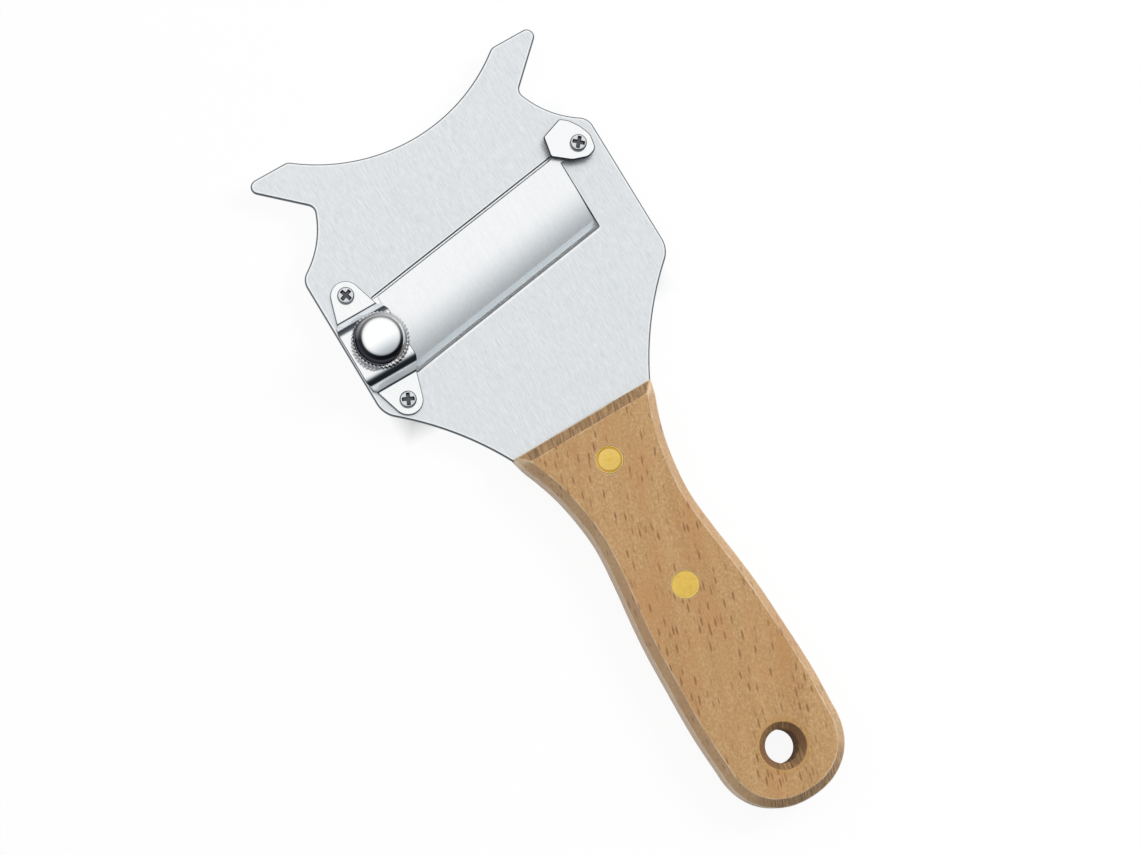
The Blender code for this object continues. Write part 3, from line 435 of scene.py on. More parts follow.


# grime and painted light: even fine grime and small marks; an edge mask, for a painted highlight along rounded
# edges; a mask where a face leans away from flat, for painted shade there; and Hollow, where a recess is cut
def makeWear():
    tree, given, coords = openGroup("wear", {"Scale": 900.0, "Rim amount": 1.0, "Side from": 0.80, "Side to": 0.35})
    upright = absolute(axisOf(coords["Normal"], "Z"))
    grime = noise(coords["Object"], given["Scale"], Detail=5.0, Roughness=0.6)
    specks = spread(cells(coords["Object"], times(given["Scale"], 1.7))["Distance"], 0.10, 0.04)
    # painted highlight along rounded edges, broken up by the grime
    broken = times(attribute(tree, "rim"), spread(grime, 0.3, 0.6, 0.4, 1.0))
    return closeGroup(tree, Grime=grime, Specks=specks, Rim=times(broken, given["Rim amount"]),
                      Cut_side=spread(upright, given["Side from"], given["Side to"]), Hollow=attribute(tree, "hollow"))


# wood grain along y, turned by Slant: slow bands, fine fibres, speckle, short dark flecks, and end grain for
# faces that look along y
def makeGrain():
    tree, given, coords = openGroup("grain", {"Fleck length": 260.0, "Fleck width": 1500.0, "Slant": 0.0})
    waver = addNode(tree, "ShaderNodeTexNoise", None, Vector=coords["Object"], Scale=22.0, Detail=1.0).outputs["Color"]
    turned = addNode(tree, "ShaderNodeVectorRotate", {"rotation_type": "Z_AXIS"},
                     Vector=coords["Object"], Angle=given["Slant"]).outputs[0]
    bent = vectorCalc("ADD", turned, stretched(waver, (0.006, 0.0, 0.004)))
    size = addNode(tree, "ShaderNodeCombineXYZ", None, X=given["Fleck width"], Y=given["Fleck length"],
                   Z=given["Fleck width"]).outputs[0]
    pores = cells(stretched(bent, size))
    chosen = addNode(tree, "ShaderNodeSeparateColor", None, Color=pores["Color"]).outputs[0]
    return closeGroup(
        tree,
        Bands=noise(stretched(bent, (260.0, 9.0, 160.0))),
        Fibres=noise(stretched(bent, (2600.0, 60.0, 2600.0)), Detail=3.0),
        Patches=noise(stretched(bent, (70.0, 26.0, 70.0)), Detail=4.0, Roughness=0.6),
        Speckle=noise(stretched(bent, (1500.0, 1100.0, 1500.0)), Detail=5.0, Roughness=0.75),
        Flecks=times(spread(pores["Distance"], 0.40, 0.22), spread(chosen, 0.50, 0.80)),
        Ends=noise(stretched(bent, (2400.0, 130.0, 130.0)), Detail=4.0, Roughness=0.7),
        End_mask=spread(absolute(axisOf(coords["Normal"], "Y")), 0.35, 0.6))


# band behind a slanted straight edge: y - Front - Slope * x between 0 and Width
def makeEdgeBand():
    tree, given, coords = openGroup("edge band", {"Front": 0.0, "Slope": 0.0, "Width": 0.002})
    ahead = minus(axisOf(coords["Object"], "Y"), given["Front"])
    behind = minus(ahead, times(axisOf(coords["Object"], "X"), given["Slope"]))
    return closeGroup(tree, Band=spread(calc("DIVIDE", behind, given["Width"]), 1.02, 0.98))


brushing, turning, wear, grain, edgeBand = makeBrushing(), makeTurning(), makeWear(), makeGrain(), makeEdgeBand()


def newMaterial(name, slot, **fixed):
    material = bpy.data.materials.new(name)
    material["slot"] = slot
    material.use_nodes = True
    shader = material.node_tree.nodes["Principled BSDF"]
    for key, value in fixed.items():
        feed(shader.inputs[key.replace("_", " ")], value)
    return material, material.node_tree, shader


def dress(shader, colour, rough, height, distance, strength=1.0):
    bump = addNode(shader.id_data, "ShaderNodeBump", None, Strength=strength, Distance=distance, Height=height)
    for key, value in (("Base Color", colour), ("Roughness", rough), ("Normal", bump.outputs["Normal"])):
        feed(shader.inputs[key], value)


# what the metals start from; the values of one metal stand over these. rim is the share of a painted highlight
# along rounded edges, and side the colour of painted shade on faces that lean away from flat, over sideRange
plainBrushed = {"grazing": (1.0, 1.0, 1.0), "lines": (3800.0, 500.0, 3800.0), "shares": (0.6, 0.25, 0.15),
                "bump": 0.000002, "grime": 700.0, "rim": 0.5, "rimColour": (0.95, 0.95, 0.95),
                "sideRange": (0.80, 0.35)}
plainTurned = {"grazing": (1.0, 1.0, 1.0), "rings": 9000.0, "bump": 0.000002, "grime": 1200.0, "stain": 0.2,
               "rim": 0.4, "sideRange": (0.945, 0.88)}


def wearOn(tree, m):
    low, high = m["sideRange"]
    return useGroup(tree, wear, Scale=m["grime"], Rim_amount=m["rim"], Side_from=low, Side_to=high)


# brushed metal: streaks shift the colour a little, and the roughness more
def brushedMetal(name, slot, **values):
    m = {**plainBrushed, **values}
    material, tree, shader = newMaterial(name, slot, Metallic=1.0, Specular_Tint=m["grazing"])
    lines, used = useGroup(tree, brushing, Scale=m["lines"]), wearOn(tree, m)
    fine, slow, mottle = (times(lines[key], part) for key, part in zip(("Lines", "Long", "Mottle"), m["shares"]))
    streaks = spread(plus(plus(fine, slow), mottle), 0.36, 0.64)
    # streaks, then a painted highlight along rounded edges, then painted shade on faces that lean away from flat
    colour = layered(m["dark"], (streaks, m["light"]), (used["Rim"], m["rimColour"]), (used["Cut side"], m["side"]))
    rough = plus(spread(streaks, 0.0, 1.0, *m["roughness"]), spread(used["Grime"], 0.35, 0.7, -0.02, 0.03))
    if "fold" in m:  # upright walls across the sheet, over a height: painted light, a bluer, less metallic look picked by their facing
        coords = coordsOf(tree)
        across, above = absolute(axisOf(coords["Normal"], "Y")), axisOf(coords["Object"], "Z")
        wall = times(spread(across, *m["foldRange"]), spread(above, *m["foldAbove"]))
        colour = layered(colour, (wall, m["fold"]))
        feed(shader.inputs["Metallic"], minus(1.0, times(wall, m["foldScatter"])))
    if "ground" in m:  # the ground edge: a paler, coarser band along the blade's front, that also scatters light
        front, slope, width = m["ground"]
        ground = useGroup(tree, edgeBand, Front=front, Slope=slope, Width=width)["Band"]
        colour = layered(colour, (ground, m["groundColour"]))
        rough = plus(rough, times(ground, m["groundRough"]))
        feed(shader.inputs["Metallic"], minus(1.0, times(ground, m["groundScatter"])))
    dress(shader, colour, rough, lines["Lines"], m["bump"])
    return material


# turned metal: rings round the piece's axis
def turnedMetal(name, slot, centre, **values):
    m = {**plainTurned, **values}
    material, tree, shader = newMaterial(name, slot, Metallic=1.0, Specular_Tint=m["grazing"])
    rings, used = useGroup(tree, turning, Centre=centre, Scale=m["rings"])["Rings"], wearOn(tree, m)
    # turning marks, grime, then a painted highlight along rounded edges
    colour = layered(m["dark"], (spread(rings, 0.3, 0.7), m["light"]),
                     (spread(used["Grime"], 0.5, 0.75, 0.0, m["stain"]), m["dark"]), (used["Rim"], m["rimColour"]))
    if "hollow" in m:  # painted shade in a recess in the top, and on the head's leaning sides
        colour = layered(colour, (times(used["Cut side"], m["sideShare"]), m["side"]), (used["Hollow"], m["hollow"]))
    if "ring" in m:  # painted dark reflection round a dome, above a height, deepest towards one side, inside an off-centre circle
        coords, edge = coordsOf(tree), (m["ring"], m["ring"] + 0.0004)
        above = axisOf(coords["Object"], "Z")
        towards = vectorCalc("DOT_PRODUCT", coords["Normal"], m["ringSide"])
        slope = times(times(used["Cut side"], spread(above, *edge)), spread(towards, -0.7, 0.1, 0.5, 1.0))
        foot = times(spread(axisOf(coords["Normal"], "Z"), 0.25, 0.45, 0.0, 0.98), spread(above, *edge[::-1]))
        reach = vectorCalc("DISTANCE", stretched(coords["Object"], (1.0, 1.0, 0.0)), m["castCentre"])
        colour = layered(colour, (times(larger(slope, foot), spread(reach, *m["castRange"])), m["ringColour"]))
    dress(shader, colour, plus(spread(rings, 0.3, 0.7, *m["roughness"]), times(used["Specks"], 0.06)), rings, m["bump"])
    return material


# side colours below are painted shade on faces that lean away from flat; edge colours are painted highlights
plateMetal = brushedMetal(
    "brushed plate", "brushed steel", lines=(4600.0, 340.0, 4600.0), dark=(0.655, 0.683, 0.700),
    light=(0.845, 0.868, 0.882), rimColour=(0.98, 0.99, 0.99), rim=0.9, side=(0.18, 0.195, 0.215),
    sideRange=(0.985, 0.89), roughness=(0.27, 0.38), bump=0.000006, shares=(0.74, 0.14, 0.12))
brightMetal = brushedMetal(
    "satin bright steel", "bright steel", dark=(0.88, 0.89, 0.90), light=(0.93, 0.935, 0.94),
    side=(0.05, 0.055, 0.065), sideRange=(0.985, 0.90), roughness=(0.12, 0.19), grazing=(0.5, 0.51, 0.53))
foldedMetal = brushedMetal(
    "satin folded steel", "bright steel", dark=(0.86, 0.875, 0.88), light=(0.93, 0.94, 0.945),
    side=(0.10, 0.11, 0.125), sideRange=(0.98, 0.93), roughness=(0.10, 0.17), grazing=(0.65, 0.66, 0.68),
    fold=(0.86, 0.91, 0.95), foldRange=(0.67, 0.73), foldAbove=(0.0083, 0.0088), foldScatter=0.7)
springMetal = brushedMetal(
    "drawn wire", "spring steel", lines=(2500.0, 2500.0, 6000.0), dark=(0.42, 0.43, 0.45), light=(0.56, 0.57, 0.6),
    rimColour=(0.6, 0.6, 0.6), side=(0.46, 0.47, 0.49), roughness=(0.25, 0.38), bump=0.000003)
print("shared materials ready")


# Plate: one sheet with fork, horns, notches, slanted window and, in the handle, its tang.

plate = {
    "half": 0.75, "halfWidth": 47.25, "edge": 0.66, "strip": 0.3, "hornTop": 105.1, "forkHalf": 33.6,
    "forkDepth": 11.75, "hornPoint": 49.9, "notch": (33.7, 90.2), "notchArc": 27.9, "shoulderY": 73.8,
    "cornerY": 29.5, "flankArc": 94.1, "junction": (22.7, -0.45), "tang": (12.0, 66.0),
    "radii": [0, 0, 7.5, 4.5, 2.5, 2.2, 3.0], "tangRadius": 4.0,
    "earScrews": (-39.2, 46.564, 34.0), "clampScrew": (39.9, 68.119), "screwHole": 1.45,
    "rivets": {"front": -13.8, "rear": -54.4}, "barrelHole": 2.7,
}
# the rim's rows: how far its front, rear and sides lie out, and how deep, as a share of its depth
window = {
    "half": 33.4, "front": 40.45, "width": 23.55, "corner": 0.5, "back": 0.3, "wall": (0.3, -0.25, 0.0),
    "rimDepth": 0.6,
    "rim": [(0.30, -0.25, 0, 1), (0.32, -0.25, 0.01, 0.8), (0.35, -0.23, 0.03, 0.52), (0.36, -0.20, 0.04, 0.475),
            (0.37, 0.17, 0.05, 0.47), (0.38, 0.20, 0.06, 0.45), (0.47, 0.34, 0.07, 0.26), (0.70, 0.48, 0.12, 0.10),
            (0.98, 0.58, 0.17, 0.03), (1.06, 0.70, 0.2, 0)],
}
earX, earY, spacing = plate["earScrews"]
screwAt = {"bracket_screw_upper": (earX, earY + spacing / 2), "bracket_screw_lower": (earX, earY - spacing / 2),
           "clamp_screw": plate["clampScrew"]}


# runs up the right side, the fork's arc, and the same runs mirrored down the left
def plateOutline(p=plate):
    halfTang, tangEnd = p["tang"]
    inHandle, corner = (halfTang, p["junction"][1]), (p["halfWidth"], p["cornerY"])
    shoulder, tip = (p["halfWidth"], p["shoulderY"]), (p["hornPoint"], p["hornTop"])
    forkEnd = (p["forkHalf"], p["hornTop"])
    right = [straightRun((halfTang, -tangEnd), inHandle), straightRun(inHandle, p["junction"]),
             arcRun(p["junction"], corner, p["flankArc"]), straightRun(corner, shoulder),
             arcRun(shoulder, p["notch"], p["notchArc"]), straightRun(p["notch"], tip), straightRun(tip, forkEnd)]
    radius = (p["forkHalf"] ** 2 + p["forkDepth"] ** 2) / (2 * p["forkDepth"])
    fork = arcRun(forkEnd, (-p["forkHalf"], p["hornTop"]), radius, 96)
    left = [run[::-1] * (-1, 1) for run in right[::-1]]
    bottom = straightRun((-halfTang, -tangEnd), (halfTang, -tangEnd))
    radii = p["radii"] + p["radii"][::-1] + [p["tangRadius"]] * 2
    return roundedLoop(right + [fork] + left + [bottom], radii, 12)


# slanted rectangle, its front, rear and sides moved outwards by these lengths
def windowLoop(front, rear, side, w=window):
    reach = w["half"] + side
    lean = reach * math.tan(slant)
    low, high = w["front"] - front, w["front"] + w["width"] / math.cos(slant) + rear
    corners = [(-reach, low - lean), (reach, low + lean), (reach, high + lean), (-reach, high - lean)]
    return cornerLoop(corners, [w["corner"] + max(front, 0) * 0.6] * 4)


# ring stack of the window: its back edge, a quarter circle, then the rows of its rim, and a flat strip
def windowRings(w=window, p=plate):
    loop = windowLoop(*w["wall"])
    steps = outwardSteps(loop)
    rings = [(loop + w["back"] * (1 - math.cos(a)) * steps, w["back"] * (1 - math.sin(a)) - p["half"])
             for a in np.linspace(math.pi / 2, 0, 6)]
    for *reach, down in w["rim"]:
        loop = windowLoop(*reach)
        rings.append((loop, p["half"] - w["rimDepth"] * down))
    rings.append((loop + p["strip"] * outwardSteps(loop), p["half"]))
    return np.array([np.column_stack((flat, np.full(len(flat), height))) for flat, height in rings])


# hole through a sheet from low to high
def holeRings(x, y, radius, low, high):
    return carried(circleLoop(x, y, radius, 40), roundEdge(low, high, 0.12, 0.12, 2, 0.2) * (-1, 1))


# the stacks of the outline, the window and the round holes, and what they leave of both faces
def makePlate(p=plate):
    edge = roundEdge(-p["half"], p["half"], p["edge"], p["edge"], 6, p["strip"])
    holes = [(*at, p["screwHole"]) for at in screwAt.values()] + [(0, y, p["barrelHole"]) for y in p["rivets"].values()]
    stacks = [carried(plateOutline(), edge), windowRings()]
    stacks += [holeRings(*hole, -p["half"], p["half"]) for hole in holes]
    sheet("plate_sheet", stacks, plateMetal, "slicer_plate", strips=True)


makePlate()
print("plate done")


# Blade and bracket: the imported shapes, joined up, with smooth shading over their curves.

def cadCopy(node, name, material, sharp, soften=0.0):
    mesh = nodes[node].data.copy()
    mesh.name = name
    mesh.materials.clear()
    work = bmesh.new()
    work.from_mesh(mesh)
    bmesh.ops.remove_doubles(work, verts=work.verts, dist=1e-6)
    bmesh.ops.dissolve_limit(work, angle_limit=math.radians(0.6), verts=work.verts, edges=work.edges,
                             delimit={"NORMAL"})
    work.to_mesh(mesh)
    work.free()
    mesh.shade_smooth()
    piece = placed(name, mesh)
    if soften:
        bevel = piece.modifiers.new("soft edges", "BEVEL")
        bevel.width, bevel.segments, bevel.angle_limit = soften, 2, math.radians(sharp)
        bevel.use_clamp_overlap = False
        piece.modifiers.new("flat faces stay flat", "WEIGHTED_NORMAL").weight = 80
    else:
        mesh.set_sharp_from_angle(angle=math.radians(sharp))
    declare(piece, material, nodes[node]["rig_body"], node)
    return piece


blade = {"sharp": 16, "lip": 0.6, "lipBack": 0.00024}
# side: painted shade on faces that lean away from flat; edge colour: a painted highlight on rounded edges
bladeMetal = brushedMetal(
    "ground blade", "blade steel", lines=(3400.0, 330.0, 3400.0), dark=(0.86, 0.875, 0.885),
    light=(0.95, 0.96, 0.965), rimColour=(0.8, 0.82, 0.84), side=(0.20, 0.21, 0.22), roughness=(0.28, 0.35),
    bump=0.000003, ground=(inFrame(0, window["front"])[1], math.tan(slant), 0.00212), groundColour=(0.84, 0.915, 0.95),
    groundRough=0.12, groundScatter=0.85)


# the honed lip draws the ground edge back a little: points less than its width behind the window's front line
# move back, square to that line
def makeBlade(b=blade):
    points = cadCopy("slicing_blade", "blade_sheet", bladeMetal, b["sharp"]).data.vertices
    places = pulled(points, "co", width=3)
    front = window["front"]
    behind = (places[:, 1] * 1000 - float(toFrame[1]) - front - places[:, 0] * 1000 * math.tan(slant)) * math.cos(slant)
    places[(behind < b["lip"]) & (behind > 0)] += np.array((-math.sin(slant), math.cos(slant), 0)) * b["lipBack"]
    points.foreach_set("co", places.ravel())


makeBlade()
print("blade done")

bracket = {"sharp": 30, "soft": 0.00026}
cadCopy("bridge_bracket", "bracket_sheet", foldedMetal, bracket["sharp"], bracket["soft"])
print("bracket done")


# Clamp, its spacer and the screws. The clamp's corners are shares of its length, round its screw.

clamp = {
    "low": 2.75, "high": 4.55, "length": 13.0, "under": 0.25, "over": 0.42, "strip": 0.2, "bore": 1.45,
    "spacer": {"radii": (1.45, 3.6), "heights": (0.95, 1.55), "ease": 0.15},
    "shares": [(-0.677, 0.035), (-0.300, -0.262), (0.046, -0.375), (0.280, -0.300), (0.345, 0.046),
               (0.238, 0.318), (0.077, 0.555), (-0.080, 0.672), (-0.588, 0.500)],
    "radius": 0.9, "corners": [1.2, 5.0, 3.5, 2.5, 4.0, 5.0, 2.5, 1.0, 0.8],
}


# polygon with its corners rounded; its edge is a small quarter circle under and a larger one over
def makeClamp(c=clamp, at=plate["clampScrew"]):
    corners = np.array(c["shares"]) * c["length"] + at
    outline = cornerLoop(corners, [share * c["radius"] for share in c["corners"]])
    edge = roundEdge(c["low"], c["high"], c["under"], c["over"], 5, c["strip"])
    hole = holeRings(*at, c["bore"], c["low"], c["high"])
    sheet("clamp_plate", [carried(outline, edge), hole], brightMetal, "blade_clamp", strips=True)
    ringPiece("spacer_ring", **c["spacer"], at=at, material=brightMetal, body="slicer", node="blade_spacer")


makeClamp()

screw = {
    "shank": 1.25, "head": 2.4, "height": 1.3, "edge": 0.45, "crown": 0.12, "foot": -0.55, "steps": 120,
    "recess": (0.95, 3.1, 0.8), "walls": (0.12, 0.35),
    "seats": {"bracket_screw_upper": (1.95, 20.0), "bracket_screw_lower": (1.95, 65.0), "clamp_screw": (4.55, 48.0)},
}


# pan head: an eased side, then a crown whose height falls as radius^2; the cross is two grooves with sloping
# walls, cut where |along| < length / 2 and |across| < width / 2
def makeScrew(name, x, y, s=screw):
    seat, turn = s["seats"][name]
    low = seat + 0.2
    top, head, ease = low + s["height"], s["head"], s["edge"] * 1.6
    side = [(0, s["foot"]), (s["shank"] - 0.15, s["foot"]), (s["shank"], s["foot"] + 0.15), (s["shank"], low),
            (head - 0.1, low), (head, low + 0.1)]
    side += [(head - ease * (1 - math.cos(a)), top - s["crown"] - s["edge"] * (1 - math.sin(a)))
             for a in np.linspace(0, math.pi / 2, 9)]
    reach, shoulder = side[-1]
    side += [(r, shoulder + s["crown"] * (1 - (r / reach) ** 2)) for r in np.linspace(head - ease, 0, 26)[1:]]
    points, faces = turnedPoints(side, x, y, s["steps"])
    angle = math.radians(turn)
    across = np.array(((math.cos(angle), math.sin(angle)), (-math.sin(angle), math.cos(angle))))
    local = np.abs((points[:, :2] - (x, y)) @ across.T)
    wide, long, deep = s["recess"]
    sideWall, endWall = s["walls"]
    groove = np.maximum(*(np.minimum((wide / 2 - local[:, 1 - i]) / sideWall, (long / 2 - local[:, i]) / endWall)
                          for i in (0, 1)))
    hollow = np.where(points[:, 2] > shoulder - 0.001, np.clip(groove + 0.5, 0, 1), 0)
    points[:, 2] -= deep * hollow
    # painted shade in the cross recess and on the head's leaning sides; a painted highlight on its edges
    material = turnedMetal(
        name.replace("_", " ") + " steel", "screw steel", inFrame(x, y), dark=(0.64, 0.66, 0.68),
        light=(0.74, 0.76, 0.78), rimColour=(0.8, 0.81, 0.82), roughness=(0.12, 0.2), side=(0.10, 0.11, 0.12),
        sideShare=0.85, hollow=(0.09, 0.095, 0.105))
    skin(name + "_turned", points, faces, material, "slicer", name, sharp=38, hollow=hollow)


for name, (x, y) in screwAt.items():
    makeScrew(name, x, y)
print("clamp and screws done")


# Knob, and what it pulls.

knob = {
    "at": (-38.1, 46.964), "low": 7.05, "radius": 8.1, "knurl": 3.6, "base": 7.2, "shoulder": 0.9, "dome": 4.2,
    "crown": 14.0, "corner": 3.3, "bore": 3.5, "roof": 12.45, "teeth": 44, "depth": 0.35, "toothPower": 0.7,
    "toothFade": (0.62, 0.5),
    "insert": {"radii": (2.2, 3.3), "heights": (7.25, 12.25), "ease": 0.2},
    "washer": {"radii": (2.3, 6.2), "heights": (6.35, 6.85), "ease": 0.12, "count": 96},
}
knobCentre = inFrame(*knob["at"])
# the dome gets a painted dark reflection round its slope, deepest towards one side and off centre
chrome = turnedMetal(
    "polished chrome", "chrome", knobCentre, rings=5000.0, dark=(0.95, 0.955, 0.96), light=(0.98, 0.985, 0.99),
    rimColour=(0.93, 0.93, 0.94), roughness=(0.035, 0.06), bump=0.0000004, rim=0.0, grazing=(0.3, 0.3, 0.32),
    ring=0.0177, ringSide=(-0.5, -0.86, 0.0), ringColour=(0.04, 0.042, 0.05),
    castCentre=(knobCentre[0] - 0.00124, knobCentre[1], 0.0), castRange=(0.0074, 0.0071))


# dome: a crown arc that runs into a smaller corner arc, as tangent circles; teeth: a rounded wave round the
# side that fades at both ends
def makeKnob(k=knob):
    shoulder = k["low"] + k["knurl"]
    base = shoulder + k["shoulder"]
    top = base + k["dome"]
    inner, reach = k["base"] - k["corner"], k["crown"] - k["corner"]
    middle = top - k["crown"] + math.sqrt(reach**2 - inner**2)
    meeting = math.asin(inner / reach)
    side = easedProfile([(k["bore"], k["roof"]), (k["bore"], k["low"]), (k["radius"], k["low"]),
                         (k["radius"], shoulder), (k["base"], base), (k["base"], middle)], [0.2, 0.45, 0.55, 0.25], 6)
    flank = np.column_stack((np.full(9, k["radius"]), np.linspace(k["low"] + 0.5, shoulder - 0.6, 9)))
    split = np.argmax((side[:, 1] > shoulder - 0.56) & (side[:, 0] > k["bore"] + 1))
    corner = np.linspace(math.pi / 2, meeting, 20)[:-1]
    dome = np.column_stack((inner + k["corner"] * np.sin(corner), middle + k["corner"] * np.cos(corner)))
    crown = np.linspace(meeting, 0, 22)
    cap = np.column_stack((k["crown"] * np.sin(crown), top - k["crown"] * (1 - np.cos(crown))))
    profile = np.vstack(([(0, k["roof"])], side[:split], flank, side[split:-1], dome, cap))
    count = k["teeth"] * 10
    wave = 0.5 - 0.5 * np.cos(k["teeth"] * np.linspace(0, 2 * math.pi, count, endpoint=False))
    inside, over = k["toothFade"]
    fade = np.clip((profile[:, 0] - (k["radius"] - inside)) / over, 0, 1)
    teeth = k["depth"] * wave[None] ** k["toothPower"] * fade[:, None]
    turnedPiece("knob_cap", profile, *k["at"], chrome, "knob", "adjusting_knob", count, teeth)


makeKnob()
# edge colour: a painted highlight on rounded edges
insertBrass = turnedMetal(
    "turned brass", "brass", knobCentre, rings=7000.0, dark=(0.66, 0.43, 0.12), light=(0.74, 0.50, 0.16),
    rimColour=(0.8, 0.58, 0.24), roughness=(0.26, 0.36))
ringPiece("insert_ring", **knob["insert"], at=knob["at"], material=insertBrass, body="knob", node="knob_insert")
ringPiece("washer_ring", **knob["washer"], at=knob["at"], material=brightMetal, body="slicer", node="knob_washer")

stud = {"foot": 1.85, "flare": (1.7, 2.15), "tenon": 1.4, "seat": 2.75, "shoulder": (2.9, 3.25), "radius": 2.0,
        "top": 11.15, "pitch": 0.7, "thread": 0.16, "steps": 48, "rows": 90}


# thread: the radius falls by a wave of height / pitch + angle / turn, faded in over the first pitch
def makeStud(s=stud):
    wide, high = s["shoulder"]
    thread = np.linspace(high + 0.3, s["top"] - 0.5, s["rows"])
    lower = [(0, s["foot"]), (s["flare"][0], s["foot"]), (s["tenon"], s["flare"][1]), (s["tenon"], s["seat"]),
             (wide - 0.1, s["seat"]), (wide, s["seat"] + 0.1), (wide, high - 0.1), (wide - 0.1, high),
             (s["radius"], high)]
    end = [(s["radius"], s["top"] - 0.45), (s["radius"] - 0.5, s["top"]), (0, s["top"])]
    profile = np.vstack((lower, np.column_stack((np.full(s["rows"], s["radius"]), thread)), end))
    phase = profile[:, 1:] / s["pitch"] - np.arange(s["steps"])[None] / s["steps"]
    threaded = (profile[:, 1] > high + 0.29) & (profile[:, 1] < s["top"] - 0.44)
    fade = np.clip((profile[:, 1] - high - 0.3) / s["pitch"], 0, 1) * threaded
    teeth = s["thread"] * 2 * np.abs(phase - np.round(phase)) * fade[:, None]
    # edge colour: a painted highlight on rounded edges
    material = turnedMetal(
        "stud steel", "screw steel", knobCentre, dark=(0.48, 0.50, 0.52), light=(0.58, 0.60, 0.62),
        rimColour=(0.66, 0.67, 0.68), roughness=(0.24, 0.34))
    turnedPiece("stud_turned", profile, *knob["at"], material, "blade", "blade_stud", s["steps"], teeth, sharp=45)


makeStud()

spring = {"wire": 0.22, "low": 2.97, "high": 4.73, "wide": 4.9, "narrow": 3.1, "turns": 2.5, "steps": 160, "round": 12}


# conical helix: radius and height change evenly with the angle; the wire's ring stands square to the way,
# and its ends close over a quarter circle
def makeSpring(s=spring):
    along = np.linspace(0, 1, s["steps"])
    radius, angle = s["wide"] + along * (s["narrow"] - s["wide"]), 2 * math.pi * s["turns"] * along
    path = np.stack((radius * np.cos(angle), radius * np.sin(angle), s["low"] + along * (s["high"] - s["low"])), axis=1)
    way = np.gradient(path, axis=0)
    way /= np.linalg.norm(way, axis=1)[:, None]
    cap = 1 - np.sin(np.linspace(0, math.pi / 2, 5))
    path = np.vstack((path[0] - way[0] * s["wire"] * cap[:, None], path[1:-1],
                      path[-1] + way[-1] * s["wire"] * cap[::-1, None]))
    close = np.sqrt(1 - cap**2)
    size = s["wire"] * np.concatenate((close, np.ones(s["steps"] - 2), close[::-1]))
    way = np.vstack((way[:1].repeat(5, 0), way[1:-1], way[-1:].repeat(5, 0)))
    side = np.cross(way, (0, 0, 1))
    side /= np.linalg.norm(side, axis=1)[:, None]
    lift = np.cross(side, way)
    turn = np.linspace(0, 2 * math.pi, s["round"], endpoint=False)[None, :, None]
    rings = path[:, None] + size[:, None, None] * (np.cos(turn) * side[:, None] + np.sin(turn) * lift[:, None])
    points = rings.reshape(-1, 3) + (*knob["at"], 0)
    piece = skin("spring_wire", points, ringQuads(len(path), s["round"]), springMetal, None, "blade_spring")
    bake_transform(piece)


makeSpring()
print("knob, stud and spring done")


# Handle: beech block with a chamfer all round, a bored and countersunk hole, and seats for the rivets.

handle = {
    "length": 122.7, "half": 6.25, "halfWidth": 19.05, "frontHalf": 22.5, "chamfer": 2.5, "frontChamfer": 3.25,
    "soft": 0.5, "endPower": 2.2,
    "stations": [(0.033, 1.125), (0.065, 1.045), (0.130, 0.913), (0.187, 0.842), (0.261, 0.795), (0.359, 0.837),
                 (0.456, 0.913), (0.522, 0.953), (0.620, 0.982), (0.766, 1.000), (0.848, 0.974)],
    "hole": (-106.4, 4.75, 1.9), "rivetSeat": (4.06, 1.8, 2.7),
}
# rim is the colour of a painted highlight along the edges, side a painted sheen on the sides, bore painted shade in the
# hole
wood = {
    "dark": (0.438, 0.243, 0.090), "light": (0.545, 0.328, 0.140), "fibre": (0.36, 0.20, 0.08),
    "speckDark": (0.36, 0.185, 0.07), "speckLight": (0.70, 0.52, 0.30), "patch": (0.47, 0.235, 0.083),
    "fleck": (0.24, 0.095, 0.03), "side": (0.60, 0.50, 0.41), "bore": (0.17, 0.08, 0.033),
    "endDark": (0.13, 0.068, 0.028), "endLight": (0.42, 0.255, 0.118), "rim": (0.76, 0.62, 0.44),
    "fleckLength": 230.0, "fleckWidth": 1000.0, "slant": math.radians(19), "roughness": (0.38, 0.55),
    "boreRange": (0.0086, 0.0080), "boreRough": 0.95, "bump": 0.00005, "bumpStrength": 0.8,
}


# cubic through the stations, with slopes from their neighbours
def smoothThrough(stations, steps):
    stations = np.array(stations, float)
    slopes = np.gradient(stations[:, 1], stations[:, 0])
    t = np.linspace(0, 1, steps, endpoint=False)[None]
    x0, x1 = stations[:-1, :1], stations[1:, :1]
    y0, y1, m0, m1 = stations[:-1, 1:], stations[1:, 1:], slopes[:-1, None], slopes[1:, None]
    rise = (2 * t**3 - 3 * t**2 + 1) * y0 + (3 * t**2 - 2 * t**3) * y1
    lean = (t**3 - 2 * t**2 + t) * m0 + (t**3 - t**2) * m1
    curve = np.stack((x0 + t * (x1 - x0), rise + (x1 - x0) * lean), axis=2).reshape(-1, 2)
    return np.vstack((curve, stations[-1:]))


# sides through the stations, closed by a superellipse quarter each: (sin, cos) of even angles to the power
# 2 / endPower
def handleOutline(h=handle):
    stations = [(0, h["frontHalf"])] + [(a * h["length"], b * h["halfWidth"]) for a, b in h["stations"]]
    side = smoothThrough(stations, 10)
    side = np.vstack((side[:1], side[10:]))
    start, width = side[-1]
    turns, power = np.linspace(0, math.pi / 2, 41)[1:], 2 / h["endPower"]
    end = np.column_stack((start + (h["length"] - start) * np.sin(turns) ** power,
                           width * np.clip(np.cos(turns), 0, 1) ** power))
    side = np.vstack((side, end))
    side[-1, 1] = 0
    right = np.stack((side[:, 1], -side[:, 0]), axis=1)
    front = np.column_stack((np.linspace(h["frontHalf"], -h["frontHalf"], 41)[1:-1], np.zeros(39)))
    return np.vstack((right[::-1], front, right[:-1] * (-1, 1)))


